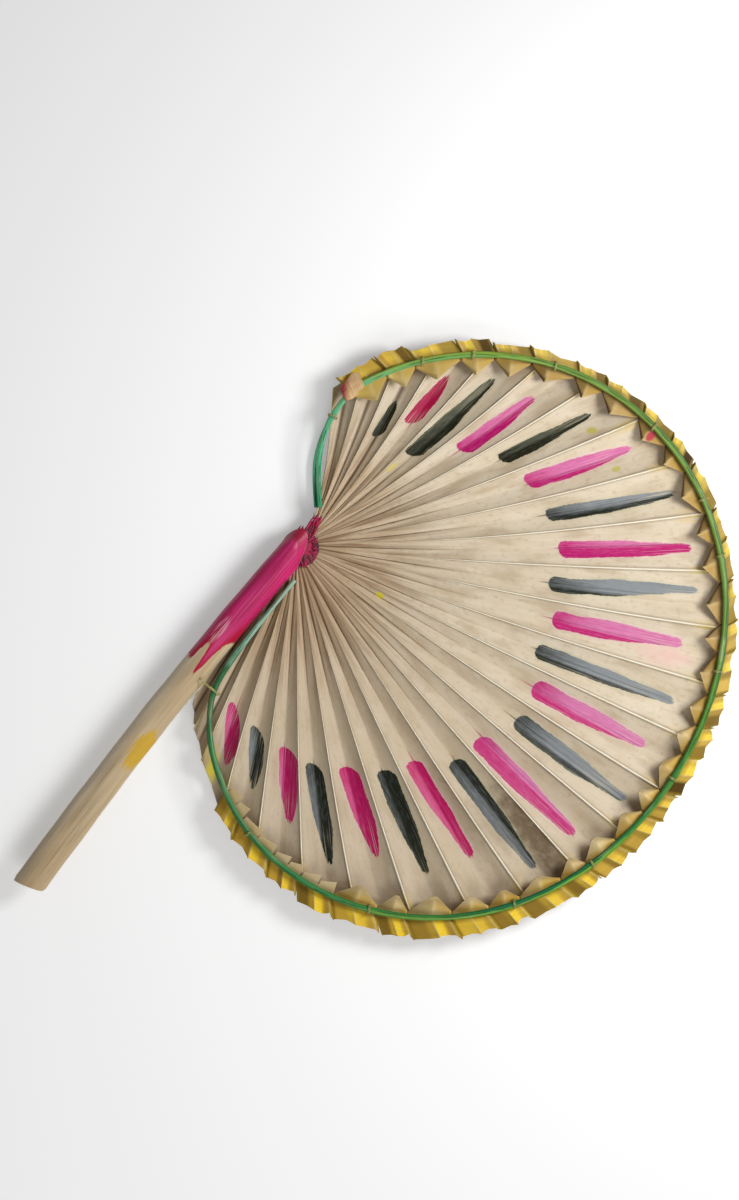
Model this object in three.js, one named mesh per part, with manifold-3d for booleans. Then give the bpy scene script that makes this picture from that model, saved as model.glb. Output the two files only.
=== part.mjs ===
// Hand fan made from one pleated palm leaf.
// The leaf stalk is the handle. The leaf's V-folded segments spread from the end of the stalk,
// a pleated palm-strip frill edges the rim, and two split-cane hoops, one on each face,
// are stitched together through frill and leaf. The fan lies on its back: +X runs along the
// stalk from the grip to the leaf, +Z points out of the painted face. Millimetres.

import * as THREE from 'three';
import { mergeVertices } from 'three/addons/utils/BufferGeometryUtils.js';
import Module from 'manifold-3d';

const wasm = await Module();
wasm.setup();

// Gap kept between pieces that touch each other
const SEAT = 0.3;

// Thread of the stitches and ties
const THREAD = 0.9;
const THREAD_SIDES = 6;
const LOOP_CORNER = 1;
const NEEDLE_HOLE_SIDES = 8;

// Split-cane hoops: an oval round the blade, its tails running in to the hub at the origin.
// A point of the top tail is x, y and its climb from the hub's level to the rim's;
// a point of the bottom tail is x, the gap to the stalk's edge and its climb.
const HOOP_RADIUS = 136.6;
const HOOP_OVALITY = 7.5;
const HOOP_TILT = THREE.MathUtils.degToRad(7);
const HOOP_WIDTH = 3;
const HOOP_THICKNESS = 2.3;
const HOOP_TUCK = 5.3;
const HOOP_TUCK_EASE = 1.2;
const HOOP_TUCK_SPAN = THREE.MathUtils.degToRad(21.5);
const HOOP_TUCK_TOP = THREE.MathUtils.degToRad(57);
const HOOP_TUCK_BOTTOM = THREE.MathUtils.degToRad(-184.5);
const HOOP_ARC_START = THREE.MathUtils.degToRad(62);
const HOOP_ARC_END = THREE.MathUtils.degToRad(-206);
const HOOP_ARC_STEPS = 30;
const HOOP_STEPS = 84;
const BLADE_CENTRE = new THREE.Vector2(0.115, -0.647).multiplyScalar(HOOP_RADIUS);
const TOP_TAIL = [[22, 5, 0], [32.4, 14.6, 0], [40.7, 20.9, 0.16], [50.5, 26, 0.5], [60, 29, 1]];
const HANDLE_TIE_X = -0.6 * HOOP_RADIUS;
const HANDLE_TIE_GAP = 5.4;
const BOTTOM_TAIL_X = -0.69 * HOOP_RADIUS;
const BOTTOM_TAIL = [
  [BOTTOM_TAIL_X, 12.3, 0.74], [HANDLE_TIE_X, HANDLE_TIE_GAP, 0.26],
  [-66, 2.7, 0], [-45, 1.8, 0], [-14, 1.4, 0],
];
const BACK_TAIL_SHIFT = 2.6;
const BACK_TAIL_SIDE = THREE.MathUtils.degToRad(120);

// Pleated leaf
const LEAF_THICKNESS = 0.5;
const STEEPEST = 2;
const TOP_SEGMENTS = 2;
const MAIN_SEGMENTS = 22;
const BOTTOM_SEGMENTS = 3;
const TOP_EDGE = THREE.MathUtils.degToRad(27.5);
const MAIN_START = THREE.MathUtils.degToRad(12.4);
const MAIN_END = THREE.MathUtils.degToRad(-165.6);
const MAIN_SWAY = THREE.MathUtils.degToRad(1.6);
const BOTTOM_EDGE = THREE.MathUtils.degToRad(-181);
const LEAF_BASE_RADIUS = 11;
const BASE_TOP = THREE.MathUtils.degToRad(4);
const BASE_BOTTOM = THREE.MathUtils.degToRad(-170);
const FOLD_BOW = 2;
const LEAF_OVERHANG = 7;
const BASE_PLEAT = 2.4;
const RIM_PLEAT = 5;
const BASE_LIFT = 1;
const BASE_LIFT_SHARE = 0.5;
const LEAF_STATIONS = [0, 0.06, 0.15, 0.3, 0.5, 0.72, 1];
const EDGE_HALVINGS = 40;

// Frill: strips laid end to end round the rim, each pinched into upright pleats.
// Its reach past the hoop changes with the direction: a point is the direction in degrees and the reach.
const FRILL_REACH = [[63, 10], [15, 4.8], [-40, 4.5], [-100, 8.5], [-140, 9.8], [-197, 8.4]];
const FRILL_STRIP_PLEATS = [10, 9, 9, 5];
const FRILL_START = THREE.MathUtils.degToRad(63);
const FRILL_END = THREE.MathUtils.degToRad(-197);
const FRILL_THICKNESS = 0.5;
const FRILL_PAST_LEAF = 1;
const FRILL_PRESSED = 2.2;
const FRILL_OUTER_PLEAT = 3.4;
const TENT_REACH = 10.2;
const TENT_HEIGHT = 5;
const TROUGH_REACH = 2.4;
const CREST_SHARE = 0.56;
const PLEAT_WOBBLE = 0.12;
const PLEAT_WOBBLE_TURN = 2.4;
const STRIP_JOINT = 0.6;

// Flap folded over the hoop where the frill begins
const FLAP_ANGLE = THREE.MathUtils.degToRad(62.2);
const FLAP_LENGTH = 9;
const FLAP_INNER = 9;
const FLAP_OUTER = 5;
const FLAP_DROP = 1.2;

// Stalk used as handle, with a flat back and a rounded face
const HANDLE_LENGTH = 224;
const HANDLE_WIDTH = 14.4;
const HANDLE_BUTT_WIDTH = 16;
const HANDLE_THICKNESS = 9;
const HANDLE_HUB = new THREE.Vector2(8, 1.6);
const HANDLE_BOW = 2.4;
const HANDLE_DROP = 4;
const HUB_SKEW = 0.76;
const HUB_POINT = 1.32;
const BUTT_SKEW = -0.3;
const HUB_FACET_LENGTH = 9;
const HUB_FACET_HEIGHT = 0.55;
const HANDLE_STATIONS = 12;
const HANDLE_SECTION = [
  [-0.9, 0], [0.9, 0], [1, 0.12], [1, 0.45], [0.72, 0.82], [0.2, 1],
  [-0.35, 0.97], [-0.8, 0.78], [-1, 0.42], [-1, 0.12],
];

// Fibrous knuckle at the end of the stalk, where the leaf segments start
const KNUCKLE_CLEARANCE = 0.5;
const KNUCKLE_SIDES = 24;
const KNUCKLE_PROFILE = [[0, 0], [1, 0], [1, 0.5], [0.86, 0.82], [0.6, 1], [0, 1]];

// Stitches round the rim, by the leaf fold that they go through: a quarter is the middle of a wing.
// Two ties: one from a hole in the stalk round the bottom tail, one round the top tail.
const STITCH_FOLDS = [2.75, 3.75, 5.25, 7.25, 8.75, 9.75, 11.75, 13.75, 15.75, 17.25, 19.75, 22.25];
const HANDLE_TIE_INSET = 2.2;
const HANDLE_TIE_SLACK = 0.9;
const TAIL_TIE_RUN = 47;

// Heights, from the table up
const backHoopTop = THREAD + SEAT + HOOP_THICKNESS;
const valleyZ = backHoopTop + SEAT;
const leafTopZ = valleyZ + RIM_PLEAT + LEAF_THICKNESS * STEEPEST;
const frillZ = leafTopZ + SEAT;
const frontHoopZ = frillZ + FRILL_PRESSED + FRILL_THICKNESS + SEAT;
const tailZ = leafTopZ + SEAT;
const handleZ = leafTopZ + SEAT;
const loopTopZ = frontHoopZ + HOOP_THICKNESS + SEAT + THREAD / 2;
const handleTopZ = handleZ + HANDLE_THICKNESS;

const segmentCount = TOP_SEGMENTS + MAIN_SEGMENTS + BOTTOM_SEGMENTS;
const pleatCount = FRILL_STRIP_PLEATS.reduce((sum, count) => sum + count, 0);
const loopHalfSpan = HOOP_WIDTH / 2 + SEAT + THREAD / 2;

const { inverseLerp, lerp, radToDeg, smoothstep } = THREE.MathUtils;

const palette = {
  leaf: { color: 0xdccdb0, roughness: 0.6 },
  frill: { color: 0xc8a045, roughness: 0.55 },
  hoop: { color: 0x4c9a4a, roughness: 0.5 },
  thread: { color: 0xd8d3a4, roughness: 0.8 },
  handle: { color: 0xc8a982, roughness: 0.65 },
  knuckle: { color: 0xb52a68, roughness: 0.7 },
};

const fan = new THREE.Group();

function addPiece(name, geometry, finish) {
  const material = new THREE.MeshStandardMaterial({ ...palette[finish], metalness: 0 });
  const mesh = new THREE.Mesh(geometry, material);
  mesh.name = name;
  fan.add(mesh);
}

// Closed geometry from points and triangles, turned so that its faces point out
function closedGeometry(points, triangles) {
  let volume = 0;
  for (const [a, b, c] of triangles) {
    volume += points[a].dot(points[b].clone().cross(points[c]));
  }
  const faces = volume > 0 ? triangles : triangles.map(([a, b, c]) => [a, c, b]);
  const geometry = new THREE.BufferGeometry().setFromPoints(points);
  geometry.setIndex(faces.flat());
  return geometry;
}

function quad(a, b, c, d) {
  return [[a, b, c], [a, c, d]];
}

// Thin solid between an upper and a lower grid of points with the same rows and columns
function sheetSolid(upper, lower) {
  const rows = upper.length;
  const columns = upper[0].length;
  const points = [...upper.flat(), ...lower.flat()];
  const top = (row, column) => row * columns + column;
  const under = (row, column) => rows * columns + top(row, column);
  const triangles = [];
  for (let r = 0; r < rows - 1; r++) {
    for (let c = 0; c < columns - 1; c++) {
      triangles.push(...quad(top(r, c), top(r + 1, c), top(r + 1, c + 1), top(r, c + 1)));
      triangles.push(...quad(under(r, c), under(r, c + 1), under(r + 1, c + 1), under(r + 1, c)));
    }
    const last = columns - 1;
    triangles.push(...quad(top(r, 0), under(r, 0), under(r + 1, 0), top(r + 1, 0)));
    triangles.push(...quad(top(r, last), top(r + 1, last), under(r + 1, last), under(r, last)));
  }
  for (let c = 0; c < columns - 1; c++) {
    const last = rows - 1;
    triangles.push(...quad(top(0, c), top(0, c + 1), under(0, c + 1), under(0, c)));
    triangles.push(...quad(top(last, c), under(last, c), under(last, c + 1), top(last, c + 1)));
  }
  return closedGeometry(points, triangles);
}

// Solid through rings of points, capped at both ends or closed on itself
function loftSolid(rings, closed = false) {
  const sides = rings[0].length;
  const points = rings.flat();
  const triangles = [];
  const spans = closed ? rings.length : rings.length - 1;
  for (let r = 0; r < spans; r++) {
    const here = r * sides;
    const next = ((r + 1) % rings.length) * sides;
    for (let s = 0; s < sides; s++) {
      const t = (s + 1) % sides;
      triangles.push(...quad(here + s, here + t, next + t, next + s));
    }
  }
  if (!closed) {
    const end = (rings.length - 1) * sides;
    for (let s = 1; s < sides - 1; s++) {
      triangles.push([0, s + 1, s], [end, end + s, end + s + 1]);
    }
  }
  return closedGeometry(points, triangles);
}

function toSolid(geometry) {
  const bare = geometry.clone();
  bare.deleteAttribute('normal');
  bare.deleteAttribute('uv');
  const merged = mergeVertices(bare);
  return new wasm.Manifold(new wasm.Mesh({
    numProp: 3,
    vertProperties: new Float32Array(merged.attributes.position.array),
    triVerts: new Uint32Array(merged.index.array),
  }));
}

function fromSolid(solid) {
  const mesh = solid.getMesh();
  const geometry = new THREE.BufferGeometry();
  geometry.setAttribute('position', new THREE.BufferAttribute(new Float32Array(mesh.vertProperties), 3));
  geometry.setIndex(new THREE.BufferAttribute(new Uint32Array(mesh.triVerts), 1));
  return geometry;
}

// The geometry with each cutter that reaches it taken away
function cutAway(geometry, cutters) {
  geometry.computeBoundingBox();
  const near = cutters.filter((cutter) => {
    cutter.computeBoundingBox();
    return cutter.boundingBox.intersectsBox(geometry.boundingBox);
  });
  if (near.length === 0) return geometry;
  const solid = near.reduce((rest, cutter) => rest.subtract(toSolid(cutter)), toSolid(geometry));
  return fromSolid(solid);
}

// Radius of the hoop in a direction from the blade's centre: an oval, drawn in towards both tails
function rimRadius(angle) {
  const past = Math.max(angle - HOOP_TUCK_TOP, HOOP_TUCK_BOTTOM - angle, 0);
  const tuck = HOOP_TUCK * (past / HOOP_TUCK_SPAN) ** HOOP_TUCK_EASE;
  return HOOP_RADIUS + HOOP_OVALITY * Math.cos(2 * (angle - HOOP_TILT)) - tuck;
}

// Point of the hoop in that direction, moved outward by an offset
function rimPoint(angle, offset = 0) {
  const ray = new THREE.Vector2(Math.cos(angle), Math.sin(angle));
  return ray.multiplyScalar(rimRadius(angle) + offset).add(BLADE_CENTRE);
}

// Direction of a point from the blade's centre; directions run from the top tail down to the bottom tail
function rimDirection(point) {
  const turn = point.clone().sub(BLADE_CENTRE).angle();
  return turn > Math.PI / 2 ? turn - 2 * Math.PI : turn;
}

// How far a point lies outside the hoop
function rimOffset(point) {
  return point.distanceTo(BLADE_CENTRE) - rimRadius(rimDirection(point));
}

// How far the frill stands out past the hoop in a direction
function frillReach(angle) {
  const degrees = radToDeg(angle);
  const next = FRILL_REACH.findIndex(([turn]) => turn <= degrees);
  if (next <= 0) return FRILL_REACH.at(next)[1];
  const [startTurn, startReach] = FRILL_REACH[next - 1];
  const [endTurn, endReach] = FRILL_REACH[next];
  return lerp(startReach, endReach, inverseLerp(startTurn, endTurn, degrees));
}

// How far the leaf stands out past the hoop in a direction, hidden by the frill
function leafOverhang(angle) {
  return Math.min(LEAF_OVERHANG, frillReach(angle) - FRILL_PAST_LEAF);
}

// Where a ray from the hub crosses a line that follows the hoop at an offset, found by halving
function rimCrossing(angle, offsetAt) {
  const ray = new THREE.Vector2(Math.cos(angle), Math.sin(angle));
  let inside = LEAF_BASE_RADIUS;
  let outside = 2 * HOOP_RADIUS + 2 * HOOP_OVALITY;
  for (let step = 0; step < EDGE_HALVINGS; step++) {
    const middle = (inside + outside) / 2;
    const point = ray.clone().multiplyScalar(middle);
    if (rimOffset(point) < offsetAt(rimDirection(point))) inside = middle;
    else outside = middle;
  }
  return ray.multiplyScalar(inside);
}

// Fold lines are counted across the leaf: whole numbers are ridges, halves are valleys
function foldAngle(fold) {
  if (fold <= TOP_SEGMENTS) return lerp(TOP_EDGE, MAIN_START, fold / TOP_SEGMENTS);
  const main = (fold - TOP_SEGMENTS) / MAIN_SEGMENTS;
  if (main <= 1) return lerp(MAIN_START, MAIN_END, main) - MAIN_SWAY * Math.sin(2 * Math.PI * main);
  return lerp(MAIN_END, BOTTOM_EDGE, (fold - TOP_SEGMENTS - MAIN_SEGMENTS) / BOTTOM_SEGMENTS);
}

// A fold runs from the knuckle to the leaf's edge in a slight bow
function foldLine(fold) {
  const baseAngle = lerp(BASE_TOP, BASE_BOTTOM, fold / segmentCount);
  const base = new THREE.Vector2(Math.cos(baseAngle), Math.sin(baseAngle)).multiplyScalar(LEAF_BASE_RADIUS);
  const edge = rimCrossing(foldAngle(fold), leafOverhang);
  const run = edge.clone().sub(base);
  const side = new THREE.Vector2(run.y, -run.x).normalize();
  return (share) => base.clone()
    .addScaledVector(run, share)
    .addScaledVector(side, FOLD_BOW * 4 * share * (1 - share));
}

const pleatDepth = (share) => lerp(BASE_PLEAT, RIM_PLEAT, Math.sqrt(share));
const valleyHeight = (share) => valleyZ + BASE_LIFT * (1 - smoothstep(share, 0, BASE_LIFT_SHARE));

// One V-folded leaf segment between two ridges, its valley in the middle
function leafSegment(index) {
  const left = foldLine(index);
  const valley = foldLine(index + 0.5);
  const right = foldLine(index + 1);
  const upper = [];
  const lower = [];
  for (const share of LEAF_STATIONS) {
    const middle = valley(share);
    const low = valleyHeight(share);
    const edges = [left(share), right(share)].map((ridge) => {
      const halfWidth = ridge.distanceTo(middle);
      return ridge.lerp(middle, SEAT / 2 / halfWidth);
    });
    const halfWidth = edges[0].distanceTo(edges[1]) / 2;
    const steepness = Math.min(Math.hypot(1, pleatDepth(share) / halfWidth), STEEPEST);
    const rise = LEAF_THICKNESS * steepness;
    const high = low + pleatDepth(share);
    const row = [[edges[0], high], [middle, low], [edges[1], high]];
    lower.push(row.map(([point, z]) => new THREE.Vector3(point.x, point.y, z)));
    upper.push(row.map(([point, z]) => new THREE.Vector3(point.x, point.y, z + rise)));
  }
  return sheetSolid(upper, lower);
}

// Direction of a frill fold: crests and troughs by turns, set slightly unevenly as by hand
function frillAngle(fold) {
  const sway = PLEAT_WOBBLE * Math.sin(PLEAT_WOBBLE_TURN * Math.floor(fold));
  return lerp(FRILL_START, FRILL_END, (fold + sway) / pleatCount);
}

function frillFold(angle, isCrest) {
  const inner = isCrest ? -TENT_REACH : -TROUGH_REACH;
  const offsets = [inner, -HOOP_WIDTH / 2, HOOP_WIDTH / 2, frillReach(angle)];
  const rises = isCrest ? [TENT_HEIGHT, FRILL_PRESSED, FRILL_PRESSED, FRILL_OUTER_PLEAT] : [0, 0, 0, 0];
  return offsets.map((offset, station) => {
    const point = rimPoint(angle, offset);
    return new THREE.Vector3(point.x, point.y, frillZ + rises[station]);
  });
}

function raised(grid, height) {
  return grid.map((row) => row.map((point) => point.clone().setZ(point.z + height)));
}

function frillStrip(firstPleat, pleats) {
  const joint = STRIP_JOINT / 2 / HOOP_RADIUS;
  const folds = [];
  for (let pleat = firstPleat; pleat < firstPleat + pleats; pleat++) {
    const start = frillAngle(pleat) - (pleat === firstPleat ? joint : 0);
    folds.push(frillFold(start, false));
    folds.push(frillFold(frillAngle(pleat + CREST_SHARE), true));
  }
  folds.push(frillFold(frillAngle(firstPleat + pleats) + joint, false));
  return sheetSolid(raised(folds, FRILL_THICKNESS), folds);
}

// Flap that begins the frill: it wraps over the front hoop and drops on both sides of it
function startFlap() {
  const reach = HOOP_WIDTH / 2 + SEAT;
  const crown = frontHoopZ + HOOP_THICKNESS + SEAT;
  const profile = [[-FLAP_INNER, -FLAP_DROP], [-reach, 0], [reach, 0], [FLAP_OUTER, -FLAP_DROP]];
  const halfTurn = FLAP_LENGTH / 2 / HOOP_RADIUS;
  const lower = [FLAP_ANGLE + halfTurn, FLAP_ANGLE - halfTurn].map((angle) => profile.map(([offset, z]) => {
    const point = rimPoint(angle, offset);
    return new THREE.Vector3(point.x, point.y, crown + z);
  }));
  return sheetSolid(raised(lower, FRILL_THICKNESS), lower);
}

// Sweep of a flat-sided section along a path, kept upright
function sweep(path, section) {
  const up = new THREE.Vector3(0, 0, 1);
  const rings = path.map((point, index) => {
    const ahead = path[Math.min(index + 1, path.length - 1)];
    const behind = path[Math.max(index - 1, 0)];
    const side = ahead.clone().sub(behind).cross(up).normalize();
    return section.map(([across, height]) => point.clone()
      .addScaledVector(side, across)
      .addScaledVector(up, height));
  });
  return loftSolid(rings);
}

// Half-round cane section, flat side on the leaf; facing is 1 for the front and -1 for the back
function caneSection(facing) {
  const half = HOOP_WIDTH / 2;
  const outline = [
    [-1, 0], [1, 0], [1, 0.4], [0.7, 0.82], [0.25, 1], [-0.25, 1], [-0.7, 0.82], [-1, 0.4],
  ];
  return outline.map(([across, height]) => [across * half, height * HOOP_THICKNESS * facing]);
}

function handleWidth(share) {
  return lerp(HANDLE_WIDTH, HANDLE_BUTT_WIDTH, share);
}

function handleMiddle(share) {
  return HANDLE_HUB.y + HANDLE_BOW * Math.sin(Math.PI * share) - HANDLE_DROP * share;
}

// The stalk's edge on the leaf's side, at a distance along it
function handleEdge(x) {
  const share = (HANDLE_HUB.x - x) / HANDLE_LENGTH;
  return handleMiddle(share) - handleWidth(share) / 2;
}

// Course of a hoop: in along the top tail, round the rim and out along the bottom tail
function hoopCurve(topTail, arcHeight, tailHeight) {
  const heightAt = (climb) => lerp(tailHeight, arcHeight, climb);
  const controls = topTail.map(([x, y, climb]) => new THREE.Vector3(x, y, heightAt(climb)));
  for (let step = 0; step <= HOOP_ARC_STEPS; step++) {
    const point = rimPoint(lerp(HOOP_ARC_START, HOOP_ARC_END, step / HOOP_ARC_STEPS));
    controls.push(new THREE.Vector3(point.x, point.y, arcHeight));
  }
  for (const [x, gap, climb] of BOTTOM_TAIL) {
    const y = handleEdge(x) - gap - HOOP_WIDTH / 2;
    controls.push(new THREE.Vector3(x, y, heightAt(climb)));
  }
  return new THREE.CatmullRomCurve3(controls, false, 'centripetal');
}

// Thread loop standing upright across a direction, as a closed tube; its top may slope
function threadLoop({ centre, direction, halfSpan, low, high, slope = 0 }) {
  const c = LOOP_CORNER;
  const bend = c * (1 - Math.SQRT1_2);
  const quarter = [[halfSpan, c], [halfSpan - bend, bend], [halfSpan - c, 0]];
  const bothSides = (side) => [...side, ...side.map(([a, z]) => [-a, z]).reverse()];
  const crown = bothSides(quarter.map(([a, d]) => [a, high - d])).map(([a, z]) => [a, z + slope * a]);
  const foot = bothSides(quarter.map(([a, d]) => [a, low + d])).reverse();
  const outline = [...crown, ...foot];
  const across = new THREE.Vector3(Math.cos(direction), Math.sin(direction), 0);
  const along = new THREE.Vector3(-Math.sin(direction), Math.cos(direction), 0);
  const path = outline.map(([a, z]) => new THREE.Vector3(centre.x, centre.y, z).addScaledVector(across, a));
  const rings = path.map((point, index) => {
    const ahead = path[(index + 1) % path.length];
    const behind = path[(index + path.length - 1) % path.length];
    const outward = ahead.clone().sub(behind).cross(along).normalize();
    return Array.from({ length: THREAD_SIDES }, (unused, side) => {
      const turn = (2 * Math.PI * side) / THREAD_SIDES;
      return point.clone()
        .addScaledVector(outward, (THREAD / 2) * Math.cos(turn))
        .addScaledVector(along, (THREAD / 2) * Math.sin(turn));
    });
  });
  return loftSolid(rings, true);
}

// Needle holes for the two upright legs of a thread loop
function needleHoles(centre, direction, halfSpan) {
  const radius = THREAD / 2 + SEAT;
  const length = 2 * handleTopZ;
  return [-halfSpan, halfSpan].map((across) => {
    const hole = new THREE.CylinderGeometry(radius, radius, length, NEEDLE_HOLE_SIDES).rotateX(Math.PI / 2);
    return hole.translate(
      centre.x + across * Math.cos(direction), centre.y + across * Math.sin(direction), handleTopZ / 2);
  });
}

// Stalk: rounded face, flat back, butt cut at a slant, hub end cut to a blunt point with a facet
function handleSolid() {
  const facet = HUB_FACET_LENGTH / HANDLE_LENGTH;
  const shares = [0, facet];
  for (let step = 1; step <= HANDLE_STATIONS; step++) shares.push(lerp(facet, 1, step / HANDLE_STATIONS));
  const rings = shares.map((share) => {
    const skew = share <= facet ? HUB_SKEW : (share === 1 ? BUTT_SKEW : 0);
    const point = share <= facet ? HUB_POINT : 0;
    const height = share === 0 ? HUB_FACET_HEIGHT : 1;
    const half = handleWidth(share) / 2;
    return HANDLE_SECTION.map(([across, z]) => new THREE.Vector3(
      HANDLE_HUB.x - share * HANDLE_LENGTH + (skew - point * across) * across * half,
      handleMiddle(share) + across * half,
      handleZ + z * height * HANDLE_THICKNESS));
  });
  return loftSolid(rings);
}

// Domed knuckle, flat on top where the stalk sits on it
function knuckleSolid() {
  const foot = valleyZ + BASE_LIFT;
  const radius = LEAF_BASE_RADIUS - KNUCKLE_CLEARANCE;
  const height = handleZ - SEAT - foot;
  const outline = KNUCKLE_PROFILE.map(([r, z]) => new THREE.Vector2(r * radius, foot + z * height));
  return new THREE.LatheGeometry(outline, KNUCKLE_SIDES).rotateX(Math.PI / 2);
}

const backTopTail = TOP_TAIL.map(([x, y, climb]) => {
  const shift = BACK_TAIL_SHIFT * (1 - climb);
  return [x + shift * Math.cos(BACK_TAIL_SIDE), y + shift * Math.sin(BACK_TAIL_SIDE), climb];
});
const frontCurve = hoopCurve(TOP_TAIL, frontHoopZ, tailZ);
const backCurve = hoopCurve(backTopTail, backHoopTop, backHoopTop);

// Every thread loop: place, direction across, half span and height range
const loops = STITCH_FOLDS.map((fold, index) => {
  const name = `stitch_${String(index + 1).padStart(2, '0')}`;
  const centre = rimCrossing(foldAngle(fold), () => 0);
  const direction = centre.clone().sub(BLADE_CENTRE).angle();
  return { name, centre, direction, halfSpan: loopHalfSpan, low: THREAD / 2, high: loopTopZ };
});

const tiedEdge = handleEdge(HANDLE_TIE_X);
const handleTieStart = tiedEdge + HANDLE_TIE_INSET;
const handleTieEnd = tiedEdge - HANDLE_TIE_GAP - HOOP_WIDTH / 2 - loopHalfSpan - HANDLE_TIE_SLACK;
const handleTieHigh = handleTopZ + SEAT + THREAD / 2;
const handleTieLow = tailZ + HOOP_THICKNESS + SEAT + THREAD / 2;
loops.push({
  name: 'handle_tie',
  centre: new THREE.Vector2(HANDLE_TIE_X, (handleTieStart + handleTieEnd) / 2),
  direction: Math.PI / 2,
  halfSpan: (handleTieStart - handleTieEnd) / 2,
  low: THREAD / 2,
  high: (handleTieHigh + handleTieLow) / 2,
  slope: (handleTieHigh - handleTieLow) / (handleTieStart - handleTieEnd),
});

const tailTieShare = TAIL_TIE_RUN / frontCurve.getLength();
const tailTiePoint = frontCurve.getPointAt(tailTieShare);
const tailTieCourse = frontCurve.getTangentAt(tailTieShare);
loops.push({
  name: 'tail_tie',
  centre: new THREE.Vector2(tailTiePoint.x, tailTiePoint.y),
  direction: Math.atan2(tailTieCourse.x, -tailTieCourse.y),
  halfSpan: loopHalfSpan,
  low: THREAD / 2,
  high: loopTopZ,
});
const holes = loops.flatMap(({ centre, direction, halfSpan }) => needleHoles(centre, direction, halfSpan));

addPiece('stalk_handle', cutAway(handleSolid(), holes), 'handle');
addPiece('leaf_knuckle', knuckleSolid(), 'knuckle');

for (let index = 0; index < segmentCount; index++) {
  const name = `leaf_segment_${String(index + 1).padStart(2, '0')}`;
  addPiece(name, cutAway(leafSegment(index), holes), 'leaf');
}

let firstPleat = 0;
FRILL_STRIP_PLEATS.forEach((pleats, index) => {
  addPiece(`frill_strip_${index + 1}`, cutAway(frillStrip(firstPleat, pleats), holes), 'frill');
  firstPleat += pleats;
});
addPiece('frill_start_flap', startFlap(), 'frill');

addPiece('hoop_front', sweep(frontCurve.getSpacedPoints(HOOP_STEPS), caneSection(1)), 'hoop');
addPiece('hoop_back', sweep(backCurve.getSpacedPoints(HOOP_STEPS), caneSection(-1)), 'hoop');

for (const loop of loops) addPiece(loop.name, threadLoop(loop), 'thread');

// The origin is the middle of the fan's outline, on the surface that it lies on
const box = new THREE.Box3().setFromObject(fan);
const middle = box.getCenter(new THREE.Vector3());
fan.position.set(-middle.x, -middle.y, -box.min.z);

const part = new THREE.Group();
part.add(fan);

export default part;
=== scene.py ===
"""Painted palm leaf hand fan, dressed over its CAD frame.

Lengths are in millimetres from the hub, where all the folds of the leaf meet, unless a name says otherwise.
Angles are in degrees. X runs along the stalk towards the blade and Z out of the painted face.
"""

import logging
import math
from dataclasses import dataclass, field
from enum import Enum, IntEnum
from typing import NamedTuple

import bpy
import numpy as np
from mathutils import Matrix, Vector


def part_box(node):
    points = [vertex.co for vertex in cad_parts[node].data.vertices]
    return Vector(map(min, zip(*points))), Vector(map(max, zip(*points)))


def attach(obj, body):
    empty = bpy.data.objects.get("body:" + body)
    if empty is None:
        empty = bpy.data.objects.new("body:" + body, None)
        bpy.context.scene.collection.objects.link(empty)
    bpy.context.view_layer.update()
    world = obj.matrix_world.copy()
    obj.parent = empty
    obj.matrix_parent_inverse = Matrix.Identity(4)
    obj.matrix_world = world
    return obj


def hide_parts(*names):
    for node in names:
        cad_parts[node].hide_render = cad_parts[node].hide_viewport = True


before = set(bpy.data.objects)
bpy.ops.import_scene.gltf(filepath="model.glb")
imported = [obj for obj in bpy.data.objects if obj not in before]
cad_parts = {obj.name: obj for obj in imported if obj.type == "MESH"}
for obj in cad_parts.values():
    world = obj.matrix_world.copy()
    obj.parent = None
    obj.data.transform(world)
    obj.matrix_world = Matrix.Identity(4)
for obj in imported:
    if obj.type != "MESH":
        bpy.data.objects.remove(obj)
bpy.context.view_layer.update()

LOG = logging.getLogger("palm_fan")
BODY = "root"
MM = 0.001
SEED = 20261

Array = np.ndarray
Socket = bpy.types.NodeSocket
Piece = bpy.types.Object
Colour = tuple[float, float, float, float]
Row = tuple[float, ...]
Waves = tuple[Row, ...]
Limits = tuple[float, float]

low_corner, high_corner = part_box("leaf_knuckle")
HUB = np.array([(low_corner[0] + high_corner[0]) / 2, (low_corner[1] + high_corner[1]) / 2, 0.0])


def srgb(red: int, green: int, blue: int) -> Colour:
    """Turns a colour as seen on a screen, 0 to 255, into the linear colour of a socket."""
    shares = [value / 255 for value in (red, green, blue)]
    linear = [s / 12.92 if s <= 0.04045 else ((s + 0.055) / 1.055) ** 2.4 for s in shares]
    return (linear[0], linear[1], linear[2], 1.0)


def lerp(start: float | Array, end: float | Array, share: float | Array) -> float | Array:
    """Runs in a straight line from start to end."""
    return start + (end - start) * share


def smoothstep(value: float | Array, low: float, high: float) -> float | Array:
    """Rises from 0 at low to 1 at high with a soft start and end."""
    share = np.clip((value - low) / (high - low), 0.0, 1.0)
    return share * share * (3.0 - 2.0 * share)


def heading(degrees: float | Array) -> Array:
    """Unit vector in the fan's plane at an angle."""
    turn = np.radians(degrees)
    return np.stack([np.cos(turn), np.sin(turn)], axis=-1)


def bearing(run: Array) -> float:
    """Angle of a run in the fan's plane."""
    return math.degrees(math.atan2(run[1], run[0]))


def chance(key: int) -> np.random.Generator:
    """Random numbers that are the same in every run for the same key."""
    return np.random.default_rng(SEED + key)


class Draw(IntEnum):
    """First keys of the random draws."""

    RIDGE = 0
    STROKE = 100
    TEAR = 300
    PLEAT = 1000
    NOTCH = 2000
    FIBRE = 5000
    LOOP = 9000


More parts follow.
